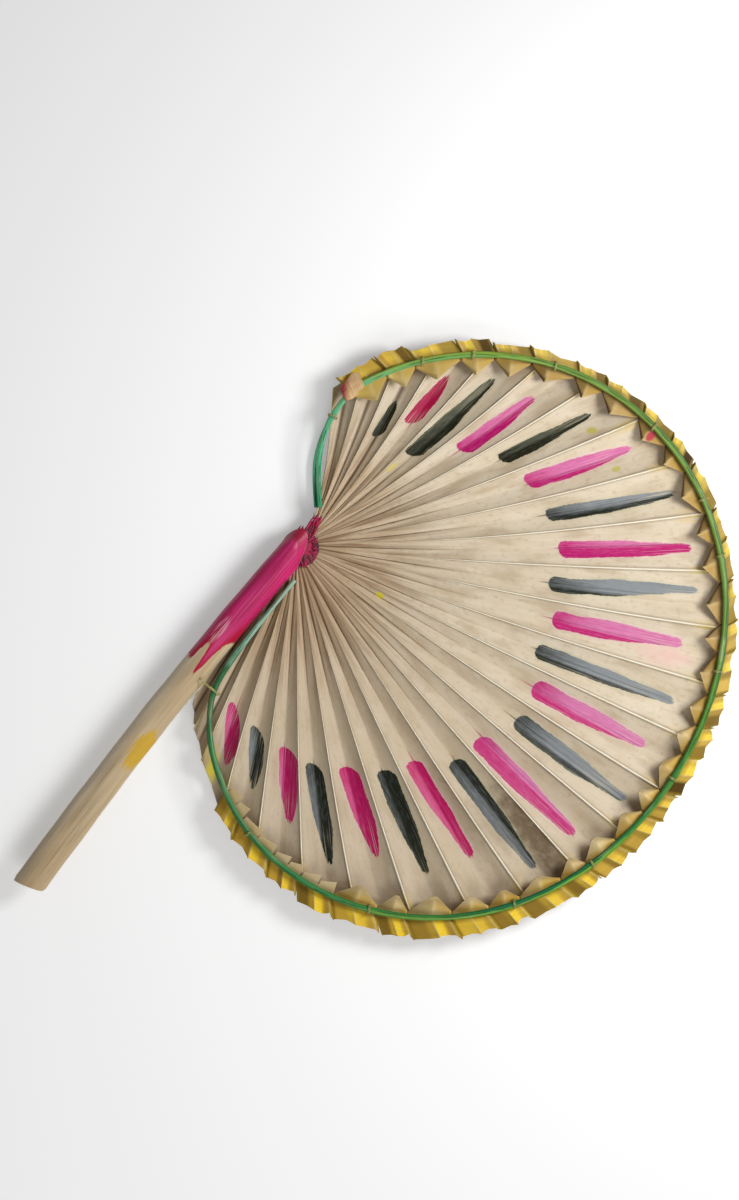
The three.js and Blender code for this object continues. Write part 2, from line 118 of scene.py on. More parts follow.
def waves(rows: Waves, *places: float | Array) -> Array:
    """Adds up sine waves.

    Args:
        rows: For each wave its height, its rate along each of the places and its phase.
        places: What the waves run along.

    Returns:
        The sum.
    """
    total = 0.0
    for height, *rates, phase in rows:
        total = total + height * np.sin(sum(rate * place for rate, place in zip(rates, places)) + phase)
    return total


class Slot(Enum):
    """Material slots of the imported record."""

    LEAF = "leaf"
    FRILL = "frill"
    HOOP = "hoop"
    THREAD = "thread"
    STALK = "stalk"
    KNUCKLE = "knuckle"


class Mix(NamedTuple):
    """One mix of paint: laid on thick, drawn out into a lighter colour that also holds a painted sheen, and
    its stain in the leaf beside it.
    """

    deep: Colour
    thin_and_sheen: Colour
    halo: Colour


class Paint(Enum):
    """Mixes of the two paints of the strokes; the black one comes twice, its lighter colour with and
    without a painted sheen of the sky.
    """

    MAGENTA = Mix(srgb(180, 16, 102), srgb(216, 132, 178), srgb(230, 184, 196))
    CRIMSON = Mix(srgb(166, 6, 64), srgb(206, 96, 146), srgb(226, 176, 186))
    ROSE = Mix(srgb(182, 14, 90), srgb(214, 112, 160), srgb(228, 180, 190))
    INK = Mix(srgb(28, 29, 13), srgb(118, 120, 98), srgb(170, 166, 122))
    BLACK = Mix(srgb(28, 32, 19), srgb(136, 141, 144), srgb(176, 178, 140))


class Workshop:
    """Adds primitives, moves their vertices into place and finishes them."""

    TINY = 1e-5
    NEAR = 1e-4

    @staticmethod
    def clear() -> None:
        """Leaves nothing selected."""
        bpy.ops.object.select_all(action="DESELECT")

    @staticmethod
    def named(name: str) -> Piece:
        """Names the piece that was added or joined last."""
        piece = bpy.context.object
        piece.name = piece.data.name = name
        return piece

    @classmethod
    def join(cls, pieces: list[Piece]) -> Piece:
        """Joins pieces into the first of them.

        Args:
            pieces: The pieces to join.

        Returns:
            The first piece, which now holds all.
        """
        cls.clear()
        for piece in pieces:
            piece.select_set(True)
        bpy.context.view_layer.objects.active = pieces[0]
        bpy.ops.object.join()
        return pieces[0]

    @staticmethod
    def corners(piece: Piece) -> Array:
        """Reads a piece's vertices.

        Args:
            piece: A mesh object.

        Returns:
            One row of x, y and z per vertex.
        """
        flat = np.empty(len(piece.data.vertices) * 3, np.float32)
        piece.data.vertices.foreach_get("co", flat)
        return flat.reshape(-1, 3).astype(float)

    @classmethod
    def sheet(cls, name: str, columns: int, rows: int) -> tuple[Piece, Array, Array]:
        """Adds a flat grid, to be folded.

        Args:
            name: Name of the piece.
            columns: Vertices across.
            rows: Vertices along.

        Returns:
            The piece, and the column and row number of each vertex.
        """
        cls.clear()
        bpy.ops.mesh.primitive_grid_add(x_subdivisions=columns - 1, y_subdivisions=rows - 1, size=1.0)
        piece = cls.named(name)
        flat = cls.corners(piece) + 0.5
        column = np.rint(flat[:, 0] * (columns - 1)).astype(int)
        row = np.rint(flat[:, 1] * (rows - 1)).astype(int)
        return piece, column, row

    @classmethod
    def tube(cls, name: str, sides: int, cuts: tuple[int, ...]) -> tuple[Piece, Array, Array, Array]:
        """Adds a cylinder cut into rings, to be bent along a course.

        Args:
            name: Name of the piece.
            sides: Vertices round the tube.
            cuts: Cuts along the tube, then further cuts in each span so made.

        Returns:
            The piece, and for each vertex its turn in radians, its share along the tube, and 1 on the
            surface or 0 on the axis.
        """
        cls.clear()
        bpy.ops.mesh.primitive_cylinder_add(vertices=sides, radius=1.0, depth=1.0, end_fill_type="TRIFAN")
        piece = cls.named(name)
        for number in cuts:
            bpy.ops.object.mode_set(mode="EDIT")
            bpy.ops.mesh.select_mode(type="EDGE")
            bpy.ops.mesh.select_all(action="DESELECT")
            bpy.ops.object.mode_set(mode="OBJECT")
            for edge in piece.data.edges:
                first, second = (piece.data.vertices[index].co.z for index in edge.vertices)
                edge.select = abs(first - second) > cls.TINY
            bpy.ops.object.mode_set(mode="EDIT")
            bpy.ops.mesh.subdivide(number_cuts=number)
            bpy.ops.object.mode_set(mode="OBJECT")
        points = cls.corners(piece)
        turn = np.arctan2(points[:, 1], points[:, 0])
        surface = (np.hypot(points[:, 0], points[:, 1]) > 0.5).astype(float)
        return piece, turn, points[:, 2] + 0.5, surface

    @staticmethod
    def place(piece: Piece, points: Array) -> None:
        """Moves every vertex to its place.

        Args:
            piece: A mesh object.
            points: One row of x, y and z in millimetres from the hub per vertex.
        """
        metres = points * MM + HUB
        piece.data.vertices.foreach_set("co", metres.astype(np.float32).ravel())
        piece.data.update()

    @staticmethod
    def mark(piece: Piece, **marks: Array) -> None:
        """Writes named numbers on every vertex, for the materials to read.

        Args:
            piece: A mesh object.
            marks: One value per vertex for each name.
        """
        for name, values in marks.items():
            layer = piece.data.attributes.new(name, "FLOAT", "POINT")
            layer.data.foreach_set("value", np.asarray(values, np.float32))

    @classmethod
    def thicken(cls, piece: Piece, thickness: float) -> None:
        """Gives a sheet its thickness below and marks its front.

        Args:
            piece: A sheet whose faces look upwards.
            thickness: Thickness in millimetres.
        """
        count = len(piece.data.vertices)
        modifier = piece.modifiers.new("thickness", "SOLIDIFY")
        modifier.thickness = thickness * MM
        modifier.offset = -1.0
        bpy.ops.object.modifier_apply(modifier=modifier.name)
        cls.mark(piece, front=np.arange(len(piece.data.vertices)) < count)

    @classmethod
    def close(cls, piece: Piece, smooth_angle: float) -> None:
        """Turns all faces outwards and shades the soft edges smooth.

        Args:
            piece: A closed mesh.
            smooth_angle: Edges flatter than this are shaded smooth.
        """
        cls.clear()
        piece.select_set(True)
        bpy.context.view_layer.objects.active = piece
        bpy.ops.object.mode_set(mode="EDIT")
        bpy.ops.mesh.select_all(action="SELECT")
        bpy.ops.mesh.normals_make_consistent(inside=False)
        bpy.ops.object.mode_set(mode="OBJECT")
        bpy.ops.object.shade_smooth_by_angle(angle=math.radians(smooth_angle))

    @staticmethod
    def hand_over(piece: Piece, material: bpy.types.Material, slot: Slot, *nodes: str) -> None:
        """Dresses a finished piece and puts it in the place of its CAD nodes.

        Args:
            piece: The finished piece.
            material: Its material.
            slot: The record's slot that the finish belongs to; not used.
            nodes: CAD nodes that it stands for.
        """
        piece.data.materials.clear()
        piece.data.materials.append(material)
        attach(piece, BODY)
        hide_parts(*nodes)
        LOG.info("%s: %d faces", piece.name, len(piece.data.polygons))


class Wire:
    """A node's output that can be reckoned with like a number."""

    def __init__(self, bench: "Bench", socket: Socket) -> None:
        """Takes the bench of the node tree and the output."""
        self.bench = bench
        self.socket = socket

    def __add__(self, other: "Wire | float") -> "Wire":
        """Sum."""
        return self.bench.math("ADD", self, other)

    def __radd__(self, other: float) -> "Wire":
        """Sum with a plain number in front."""
        return self.bench.math("ADD", other, self)

    def __sub__(self, other: "Wire | float") -> "Wire":
        """Difference."""
        return self.bench.math("SUBTRACT", self, other)

    def __rsub__(self, other: float) -> "Wire":
        """Difference from a plain number."""
        return self.bench.math("SUBTRACT", other, self)

    def __mul__(self, other: "Wire | float") -> "Wire":
        """Product."""
        return self.bench.math("MULTIPLY", self, other)

    def __truediv__(self, other: "Wire | float") -> "Wire":
        """Quotient."""
        return self.bench.math("DIVIDE", self, other)

    def __abs__(self) -> "Wire":
        """Distance from 0."""
        return self.bench.math("ABSOLUTE", self)

    def span(self, low: object, high: object, start: object = 0.0, end: object = 1.0) -> "Wire":
        """Soft step from start, where the value is low, to end, where it is high."""
        node = self.bench.add("ShaderNodeMapRange", interpolation_type="SMOOTHSTEP")
        return self.bench.wire(node, dict(enumerate((self, low, high, start, end))))


class Bench:
    """Adds shader nodes to one node tree and links them."""

    def __init__(self, tree: bpy.types.NodeTree) -> None:
        """Takes the tree to work on."""
        self.tree = tree

    def add(self, kind: str, **settings: object) -> bpy.types.Node:
        """Adds a node.

        Args:
            kind: Type of the node.
            settings: Its settings by name.

        Returns:
            The node.
        """
        node = self.tree.nodes.new(kind)
        for key, value in settings.items():
            setattr(node, key, value)
        return node

    def feed(self, socket: Socket, value: object) -> None:
        """Links an output to a socket, or sets a plain value on it.

        Args:
            socket: Input of a node.
            value: A wire, an output or a plain value.
        """
        source = value.socket if isinstance(value, Wire) else value
        if isinstance(source, Socket):
            self.tree.links.new(source, socket)
        else:
            socket.default_value = source

    def wire(self, node: bpy.types.Node, inputs: dict[int | str, object], output: int = 0) -> Wire:
        """Feeds a node and taps it.

        Args:
            node: The node.
            inputs: What goes into its inputs, by number or name.
            output: Number of the output to tap.

        Returns:
            The wire of that output.
        """
        for key, value in inputs.items():
            self.feed(node.inputs[key], value)
        return Wire(self, node.outputs[output])

    def math(self, operation: str, first: object, second: object = 0.0, clamp: bool = False) -> Wire:
        """Reckons with two values by a Math node."""
        node = self.add("ShaderNodeMath", operation=operation, use_clamp=clamp)
        return self.wire(node, {0: first, 1: second})

    def most(self, first: object, second: object) -> Wire:
        """Greater of two values."""
        return self.math("MAXIMUM", first, second)

    def blend(self, factor: object, first: object, second: object, mode: str = "MIX") -> Wire:
        """Mixes two colours by a factor."""
        node = self.add("ShaderNodeMix", data_type="RGBA", blend_type=mode)
        return self.wire(node, {0: factor, 6: first, 7: second}, 2)

    def coat(self, base: object, *layers: tuple) -> Wire:
        """Lays colours over a base.

        Args:
            base: Colour below them all.
            layers: For each its strength, its colour and, if it isn't a plain mix, its mode.

        Returns:
            The wire of the colour on top.
        """
        colour = base
        for factor, *layer in layers:
            colour = self.blend(factor, colour, *layer)
        return colour

    def spot(self, x: object, y: object, z: object = 0.0) -> Wire:
        """Puts three values together as a vector."""
        return self.wire(self.add("ShaderNodeCombineXYZ"), {0: x, 1: y, 2: z})

    def noise(self, vector: object, detail: float = 2.0, scale: float = 1.0) -> Wire:
        """Cloudy noise between 0 and 1 at a vector."""
        inputs = {"Vector": vector, "Scale": scale, "Detail": detail}
        return self.wire(self.add("ShaderNodeTexNoise"), inputs)

    def cloud(self, detail: float, x: object, y: object, z: object = 0.0) -> Wire:
        """Cloudy noise between 0 and 1 at a place given by three values."""
        return self.noise(self.spot(x, y, z), detail)

    def read(self, name: str) -> Wire:
        """Reads a number that is written on the vertices."""
        return Wire(self, self.add("ShaderNodeAttribute", attribute_name=name).outputs["Fac"])

    def curve(self, value: Wire, points: tuple[tuple[float, float], ...]) -> Wire:
        """Reads a drawn curve.

        Args:
            value: The value to look up, from 0 to 1.
            points: The two ends of the curve, then the points between them.

        Returns:
            The wire of the height read.
        """
        node = self.add("ShaderNodeFloatCurve")
        line = node.mapping.curves[0]
        line.points[0].location, line.points[1].location = points[:2]
        for point in points[2:]:
            line.points.new(*point)
        node.mapping.update()
        return self.wire(node, {"Value": value})

    def ramp(self, value: Wire, stops: tuple[tuple[float, Colour], ...]) -> Wire:
        """Reads a row of colours.

        Args:
            value: The value to look up, from 0 to 1.
            stops: Place and colour of each stop, from left to right.

        Returns:
            The wire of the colour read.
        """
        node = self.add("ShaderNodeValToRGB")
        elements = node.color_ramp.elements
        elements[0].position, elements[0].color = stops[0]
        elements[1].position, elements[1].color = stops[-1]
        for place, colour in stops[1:-1]:
            elements.new(place).color = colour
        return self.wire(node, {0: value})

    @staticmethod
    def oval(along: Wire, across: Wire, place: tuple[float, float], reach: tuple[float, float]) -> Wire:
        """Squared distance from the middle of an oval patch, 1 on its edge.

        Args:
            along: Distance along the piece.
            across: Distance across it.
            place: Middle of the patch, along and across.
            reach: Half its length and half its width.

        Returns:
            The wire of the distance.
        """
        off_along = (along - place[0]) / reach[0]
        off_across = (across - place[1]) / reach[1]
        return off_along * off_along + off_across * off_across

    def group(self, tree: bpy.types.NodeTree, **inputs: object) -> dict[str, Wire]:
        """Places a shared group.

        Args:
            tree: The group.
            inputs: What goes into its inputs.

        Returns:
            Its outputs by name.
        """
        node = self.add("ShaderNodeGroup", node_tree=tree)
        self.wire(node, inputs)
        return {output.name: Wire(self, output) for output in node.outputs}

    def surface(self, colour: Wire, roughness: Wire, height: Wire, relief: float,
                gloss: float = 0.4) -> None:
        """Ends a material in its shader.

        Args:
            colour: Base colour.
            roughness: Roughness.
            height: Relief between 0 and 1.
            relief: Height of that relief in millimetres.
            gloss: Strength of the reflection.
        """
        bump = self.add("ShaderNodeBump")
        bump.inputs["Distance"].default_value = relief * MM
        normal = self.wire(bump, {"Height": height})
        shader = self.add("ShaderNodeBsdfPrincipled")
        shader.inputs["Specular IOR Level"].default_value = gloss
        light = self.wire(shader, {"Base Color": colour, "Roughness": roughness, "Normal": normal})
        self.feed(self.add("ShaderNodeOutputMaterial").inputs["Surface"], light)


def new_material(name: str) -> tuple[bpy.types.Material, Bench]:
    """Starts an empty material.

    Args:
        name: Name of the material.

    Returns:
        The material and a bench for its nodes.
    """
    material = bpy.data.materials.new(name)
    material.use_nodes = True
    material.node_tree.nodes.clear()
    return material, Bench(material.node_tree)


class SharedGroups:
    """Node groups that several finishes use, each built once."""

    def __init__(self) -> None:
        """Builds the groups."""
        self.fibre = self.build_fibre()
        self.brush = self.build_brush()

    @staticmethod
    def start(name: str, inputs: tuple[str, ...],
              outputs: tuple[str, ...]) -> tuple[Bench, dict[str, Wire], dict[str, Socket]]:
        """Starts a group of plain numbers.

        Args:
            name: Name of the group.
            inputs: Names of its inputs.
            outputs: Names of its outputs.

        Returns:
            A bench for its nodes, and by name the wires from its inputs and the sockets of its outputs.
        """
        tree = bpy.data.node_groups.new(name, "ShaderNodeTree")
        for title in inputs:
            tree.interface.new_socket(name=title, in_out="INPUT", socket_type="NodeSocketFloat")
        for title in outputs:
            tree.interface.new_socket(name=title, in_out="OUTPUT", socket_type="NodeSocketFloat")
        bench = Bench(tree)
        source = bench.add("NodeGroupInput")
        sink = bench.add("NodeGroupOutput")
        wires = {title: Wire(bench, source.outputs[title]) for title in inputs}
        return bench, wires, {title: sink.inputs[title] for title in outputs}

    def build_fibre(self) -> bpy.types.NodeTree:
        """Grain of a dried palm leaf or stalk, long along its fibres.

        Returns:
            The group: streaks, broad mottling, sparse specks and the fine relief.
        """
        bench, given, made = self.start(
            "palm_fibre", ("Across", "Along", "Seed"), ("Streak", "Mottle", "Speck", "Relief"))
        across, along, seed = given["Across"], given["Along"], given["Seed"]
        broad = bench.cloud(3, across * 0.9, along * 0.012, seed * 17)
        fine = bench.cloud(2, across * 3.4, along * 0.03, seed * 29)
        cloud = bench.cloud(4, across * 0.09, along * 0.05, seed * 7)
        cells = bench.add("ShaderNodeTexVoronoi")
        distance = bench.wire(cells, {"Vector": bench.spot(across * 0.34, along * 0.2, seed * 3)})
        picked = bench.wire(bench.add("ShaderNodeSeparateColor"), {0: cells.outputs["Color"]})
        bench.feed(made["Streak"], (broad * 0.65 + fine * 0.35).span(0.36, 0.64))
        bench.feed(made["Mottle"], cloud.span(0.34, 0.66))
        bench.feed(made["Speck"], distance.span(0.17, 0.06) * picked.span(0.7, 0.95))
        bench.feed(made["Relief"], fine * 0.6 + broad * 0.4)
        return bench.tree

    def build_brush(self) -> bpy.types.NodeTree:
        """One stroke of a loaded brush along a crease, blunt where it starts and drawn out to a tip.

        Returns:
            The group: the paint's mask, the stain round it, the share along it and its bristle marks.
        """
        bench, given, made = self.start(
            "brush_stroke",
            ("Across", "Along", "Start", "End", "Width", "Tip", "First", "Last", "Seed", "Dry", "Creep"),
            ("Mask", "Halo", "Flow", "Bristle"))
        across, along, seed, dry = (given[title] for title in ("Across", "Along", "Seed", "Dry"))
        bristle = bench.cloud(3, across * 1.9, along * 0.03, seed * 5)
        ragged = bristle - 0.5
        run = along - given["Start"] + ragged * 2.4
        left = given["End"] - along + ragged * (3.0 + dry * 10)
        flow = bench.math("DIVIDE", run, given["End"] - given["Start"], clamp=True)
        centre = flow.span(0.0, 1.0, given["First"], given["Last"])
        taper = flow.span(0.42, 1.12)
        width = given["Width"] * (1.0 - taper) + given["Tip"] * taper
        blunt = self.round_end(bench, run, given["Width"] * 0.42)
        tip = self.round_end(bench, left, given["Tip"] * 0.8)
        wobble = bench.cloud(1, along * 0.06, seed * 13, bench.math("SIGN", across))
        fringe = bench.cloud(3, along * 0.5, across * 1.2, seed)
        half = width * 0.5 * (blunt * tip) + (wobble - 0.5) * (blunt * 2.2) + (fringe - 0.5) * 1.1
        inside = half - abs(across - centre)
        drier = bench.most(flow.span(0.45, 1.0), inside.span(1.6, 0.0) * 0.7)
        drier = bench.most(drier, run.span(12.0, 0.0) * dry.span(0.78, 0.9))
        worn = bristle.span(0.53, 0.64) * (drier * dry)
        ends = run.span(-0.1, 0.2) * left.span(-0.1, 0.2)
        body = inside.span(-0.12, 0.22) * ends * (1.0 - worn)
        crept = run.span(given["Creep"] * -1.0, 2.0) * run.span(6.0, 2.0)
        crept = abs(across).span(0.55, 0.2) * crept * 0.85
        near = inside.span(-1.7, 0.0) * (run.span(-2.5, 0.5) * left.span(-2, 1))
        bench.feed(made["Mask"], bench.most(body, crept))
        bench.feed(made["Halo"], near * wobble)
        bench.feed(made["Flow"], flow)
        bench.feed(made["Bristle"], bristle)
        return bench.tree

    @staticmethod
    def round_end(bench: Bench, distance: Wire, reach: Wire) -> Wire:
        """Share of the full width at a distance from an end that is rounded over a reach."""
        short = 1.0 - bench.math("DIVIDE", distance, reach, clamp=True)
        return bench.math("SQRT", 1.0 - short * short)


@dataclass(frozen=True)
class Stroke:
    """One painted dash: distances from the hub, its paint, and how far it is drawn out lighter together
    with its painted sheen.
    """

    start: float
    end: float
    paint: Paint
    # Share of lighter colour, partly thinned paint and partly painted sheen; the next field is the side
    # where it lies.
    thin_and_sheen: float
    lit_side: float
    dry: float
    width: float
    first: float
    last: float
    tip: float
    creep: float


@dataclass(frozen=True)
class Spot:
    """A stain or stray drop of paint on one segment."""

    along: float
    across: float
    length: float
    width: float
    colour: Colour
    strength: float

    def stain(self, bench: Bench, across: Wire, along: Wire, colour: Wire) -> Wire:
        """Lays the spot over a colour.

        Args:
            bench: Bench of the material.
            across: Distance from the crease.
            along: Distance from the hub.
            colour: Colour below the spot.

        Returns:
            The colour with the spot on.
        """
        away = bench.oval(along, across, (self.along, self.across), (self.length, self.width))
        ragged = bench.cloud(6, across * 0.3, along * 0.2, self.along)
        soft = 0.4 if self.width < 3.0 else 0.9
        inside = (away + (ragged - 0.5) * 2.0).span(0.7 + soft, 0.7 - soft)
        return bench.blend(inside * away.span(2.6, 1.0) * self.strength, colour, self.colour)


class CreaseShade(Enum):
    """Painted shade along a crease: how far out it is dark, where it is darkest, its dark width and its
    darkness.
    """

    OPEN = (90.0, 20.0, 0.16, 0.7)
    TIGHT = (130.0, 100.0, 0.3, 0.85)


@dataclass(frozen=True)
class LeafFinish:
    """Dried palm leaf, one material per segment because each has its own stroke."""

    number: int
    stroke: Stroke | None
    spots: tuple[Spot, ...]
    groups: SharedGroups
    pale: Colour = srgb(222, 210, 189)
    warm: Colour = srgb(210, 194, 166)
    # Colour of brown stains, and of the grime and painted shade near the frill.
    brown: Colour = srgb(122, 88, 58)
    # Colour of the painted shade in the creases and beside the ridges.
    fold_shade: Colour = srgb(84, 60, 34)
    grime: Colour = srgb(178, 156, 126)
    hub_tint: Colour = srgb(238, 225, 212)
    crease: CreaseShade = CreaseShade.OPEN
    # How far the segment is mixed towards the grime colour.
    age: float = 0.0
    # Colour of the painted highlight along the ridges.
    ridge: Colour = srgb(246, 238, 216)
    speck: Colour = srgb(86, 62, 40)
    dye: Colour = srgb(208, 180, 72)
    stroke_crease_dark: Colour = srgb(150, 140, 140)

    def material(self) -> bpy.types.Material:
        """Builds the material of one segment.

        Returns:
            The material.
        """
        material, bench = new_material(f"leaf_{self.number:02d}")
        across, along, fold, rest = map(bench.read, ("across", "along", "fold", "rest"))
        seed = float(self.number)
        grain = bench.group(self.groups.fibre, Across=across, Along=along, Seed=seed)
        streak, mottle = grain["Streak"], grain["Mottle"]
        long_stain = bench.cloud(3, across * 0.5, along * 0.02, seed * 3.1)
        cloud = bench.cloud(5, across * 0.14, along * 0.04, seed * 5.3)
        blotch = bench.cloud(3, across * 0.5, along * 0.3, seed * 1.9)
        steep = abs(fold)
        far, near, width, dark = self.crease.value
        # Grime and painted shade at the leaf's outer end, with a painted contact shadow darkest just inside
        # the frill's tents.
        dirt_and_shade = rest.span(26.0, 10.0) * mottle.span(0.3, 1.0, 0.08, 0.42)
        dirt_and_shade = bench.most(dirt_and_shade, rest.span(16.0, 12.0, 0.0, 0.5))
        dye = rest.span(24.0, 12.0) * steep.span(0.62, 1.0)
        colour = bench.coat(
            self.warm,
            (streak * 0.45 + mottle * 0.55, self.pale),
            (cloud.span(0.46, 0.72, 0.0, 0.6), self.grime),
            (blotch.span(0.52, 0.74, 0.0, 0.4), self.grime),
            # Darker on the top and bottom segments than on the right ones.
            (self.age, self.grime),
            (along.span(85.0, 20.0), self.hub_tint, "MULTIPLY"),
            (along.span(100.0, 14.0) * long_stain.span(0.42, 0.62) * 0.7, self.brown),
            # Painted shade in the crease out from the hub; wider, darker and longer on the tight folds at
            # both edges.
            (steep.span(width, 0.0) * along.span(far, near) * dark, self.fold_shade),
            # Painted shadow line beside each ridge's lip.
            (steep.span(0.86, 0.96) * along.span(25.0, 110.0, 0.05, 0.32), self.fold_shade),
            # Painted highlight along each ridge's crest.
            (steep.span(0.955, 0.975) * along.span(40.0, 110.0), self.ridge),
            # Grime and painted shade near the frill, stronger on the darker segments.
            (dirt_and_shade * min(1.0, 2.0 * self.age), self.brown),
            (dye * long_stain.span(0.4, 0.6, 0.0, 0.6), self.dye),
            (grain["Speck"] * 0.8, self.speck))
        roughness = 0.46 + streak * 0.14
        relief = grain["Relief"]
        for spot in self.spots:
            colour = spot.stain(bench, across, along, colour)
        if self.stroke is not None:
            colour, roughness, relief = self.paint(bench, across, along, colour, roughness, relief)
        bench.surface(colour, roughness, relief, 0.09, 0.2)
        return material

    def paint(self, bench: Bench, across: Wire, along: Wire, colour: Wire, roughness: Wire,
              relief: Wire) -> tuple[Wire, Wire, Wire]:
        """Lays the stroke over the bare leaf, on its front only.

        Args:
            bench: Bench of the material.
            across: Distance from the crease.
            along: Distance from the hub.
            colour: Colour of the bare leaf.
            roughness: Roughness of the bare leaf.
            relief: Relief of the bare leaf.

        Returns:
            Colour, roughness and relief with the paint on.
        """
        stroke, mix = self.stroke, self.stroke.paint.value
        front = bench.read("front")
        brush = bench.group(
            self.groups.brush, Across=across, Along=along, Start=stroke.start, End=stroke.end,
            Width=stroke.width, Tip=stroke.tip, First=stroke.first, Last=stroke.last,
            Seed=float(self.number), Dry=stroke.dry, Creep=stroke.creep)
        wet = brush["Mask"] * front
        # The lighter colour, thinned paint with a painted sheen, lies on the lit side of the crease and
        # grows towards the outer end.
        middle = 0.5 - 2.3 * stroke.thin_and_sheen**2
        side = (across * stroke.lit_side).span(middle - 0.9, middle + 0.9)
        drawn = brush["Flow"].span(-0.15, 0.45) * stroke.thin_and_sheen
        fleck = bench.cloud(3, across * 1.1, along * 0.22, self.number * 2.3)
        thinned = (0.1 + side * 0.9) * drawn + (fleck - 0.5) * 0.6
        thinned = thinned + (brush["Bristle"] - 0.5) * (0.25 + 0.6 * stroke.thin_and_sheen)
        hue = bench.coat(
            mix.deep,
            (bench.most(thinned, 0.0), mix.thin_and_sheen),
            # Darker along the crease inside the stroke.
            (abs(across).span(0.6, 0.1) * 0.4, self.stroke_crease_dark, "MULTIPLY"))
        colour = bench.coat(colour, (brush["Halo"] * front * 0.55, mix.halo), (wet, hue))
        return colour, roughness - wet * 0.06, relief + wet * (0.6 + brush["Bristle"] * 0.9)


@dataclass(frozen=True)
class FrillFinish:
    """Dyed leaf strip of the frill: beige inside the hoop, ochre and bright yellow outside it."""

    groups: SharedGroups
    beige: Colour = srgb(222, 198, 148)
    tan: Colour = srgb(200, 168, 106)
    leaf: Colour = srgb(208, 188, 150)
    ochre: Colour = srgb(206, 166, 62)
    sand: Colour = srgb(210, 180, 104)
    lemon: Colour = srgb(244, 218, 110)
    gold: Colour = srgb(248, 210, 56)
    umber: Colour = srgb(158, 122, 62)
    # Brown is the colour of the painted shade and of the specks; pale that of the painted highlights.
    brown: Colour = srgb(54, 33, 13)
    pale: Colour = srgb(240, 222, 170)
    gilt: Colour = srgb(240, 204, 112)
    splash: Colour = srgb(176, 30, 74)
    splash_place: Limits = (11.2, -4.6)
    splash_reach: Limits = (2.2, 2.8)
    flap_dark: Colour = srgb(190, 150, 104)
    flap_light: Colour = srgb(224, 190, 142)
    flap_red: Colour = srgb(142, 34, 56)

    def material(self) -> bpy.types.Material:
        """Builds the material of the frill strips.

        Returns:
            The material.
        """
        material, bench = new_material("frill_strip")
        arc, radial, tone, rich = map(bench.read, ("arc", "radial", "tone", "rich"))
        # The crease mark carries painted highlights, the shade mark painted shade.
        crease, shade = bench.read("crease"), bench.read("shade")
        grain = bench.group(self.groups.fibre, Across=radial, Along=arc, Seed=tone * 9.0)
        streak, mottle = grain["Streak"], grain["Mottle"]
        inside = bench.coat(
            self.beige,
            ((mottle * 0.6 + tone * 0.5).span(0.2, 0.9), self.tan),
            (radial.span(-8.0, -1.8) * mottle.span(0.0, 1.0, 0.35, 0.95) * 0.85, self.ochre),
            (bench.read("bare") * 0.65, self.leaf),
            (rich.span(0.7, 0.2, 0.0, 0.75), self.umber),
            (bench.read("gilt") * 0.7, self.gilt),
            # Painted highlight on the tents' rims and crests, then painted shade.
            (crease * rich.span(0.2, 0.8, 0.2, 0.32), self.pale),
            (shade * 0.95, self.brown))
        dyed = bench.math("ADD", bench.read("dye"), (streak - 0.5) * 0.35, clamp=True)
        # Outside the hoop: painted highlight on the folds' edges, and painted shade on some facets and next
        # to the hoop, broken by mottling.
        dirt_and_shade = radial.span(5.0, 1.6) * mottle.span(0.2, 1.0, 0.15, 0.5)
        outside = bench.coat(
            self.sand,
            (rich, self.ochre),
            (dyed, bench.blend(rich, self.lemon, self.gold)),
            (crease * 0.45, self.pale),
            (bench.most(dirt_and_shade, shade * 0.6), self.brown))
        away = bench.oval(arc, radial, self.splash_place, self.splash_reach)
        away = away + (grain["Relief"] - 0.5) * 2.0
        colour = bench.coat(
            inside,
            (radial.span(-1.0, 1.0), outside),
            (away.span(1.2, 0.4, 0.0, 0.85), self.splash),
            (grain["Speck"] * 0.6, self.brown))
        bench.surface(colour, 0.5 + streak * 0.16, grain["Relief"], 0.1, 0.08)
        return material

    def flap_material(self) -> bpy.types.Material:
        """Builds the material of the flap that begins the frill, stained red towards its free end.

        Returns:
            The material.
        """
        material, bench = new_material("frill_flap")
        arc, radial = bench.read("arc"), bench.read("radial")
        grain = bench.group(self.groups.fibre, Across=arc, Along=radial, Seed=4.0)
        stained = radial * 0.12 - bench.read("side") + (grain["Mottle"] - 0.5) * 0.4
        colour = bench.coat(
            self.flap_dark,
            (grain["Streak"], self.flap_light),
            (stained.span(0.2, 1.3), self.flap_red),
            (grain["Speck"] * 0.6, self.brown))
        bench.surface(colour, 0.5 + grain["Streak"] * 0.16, grain["Relief"], 0.1, 0.08)
        return material


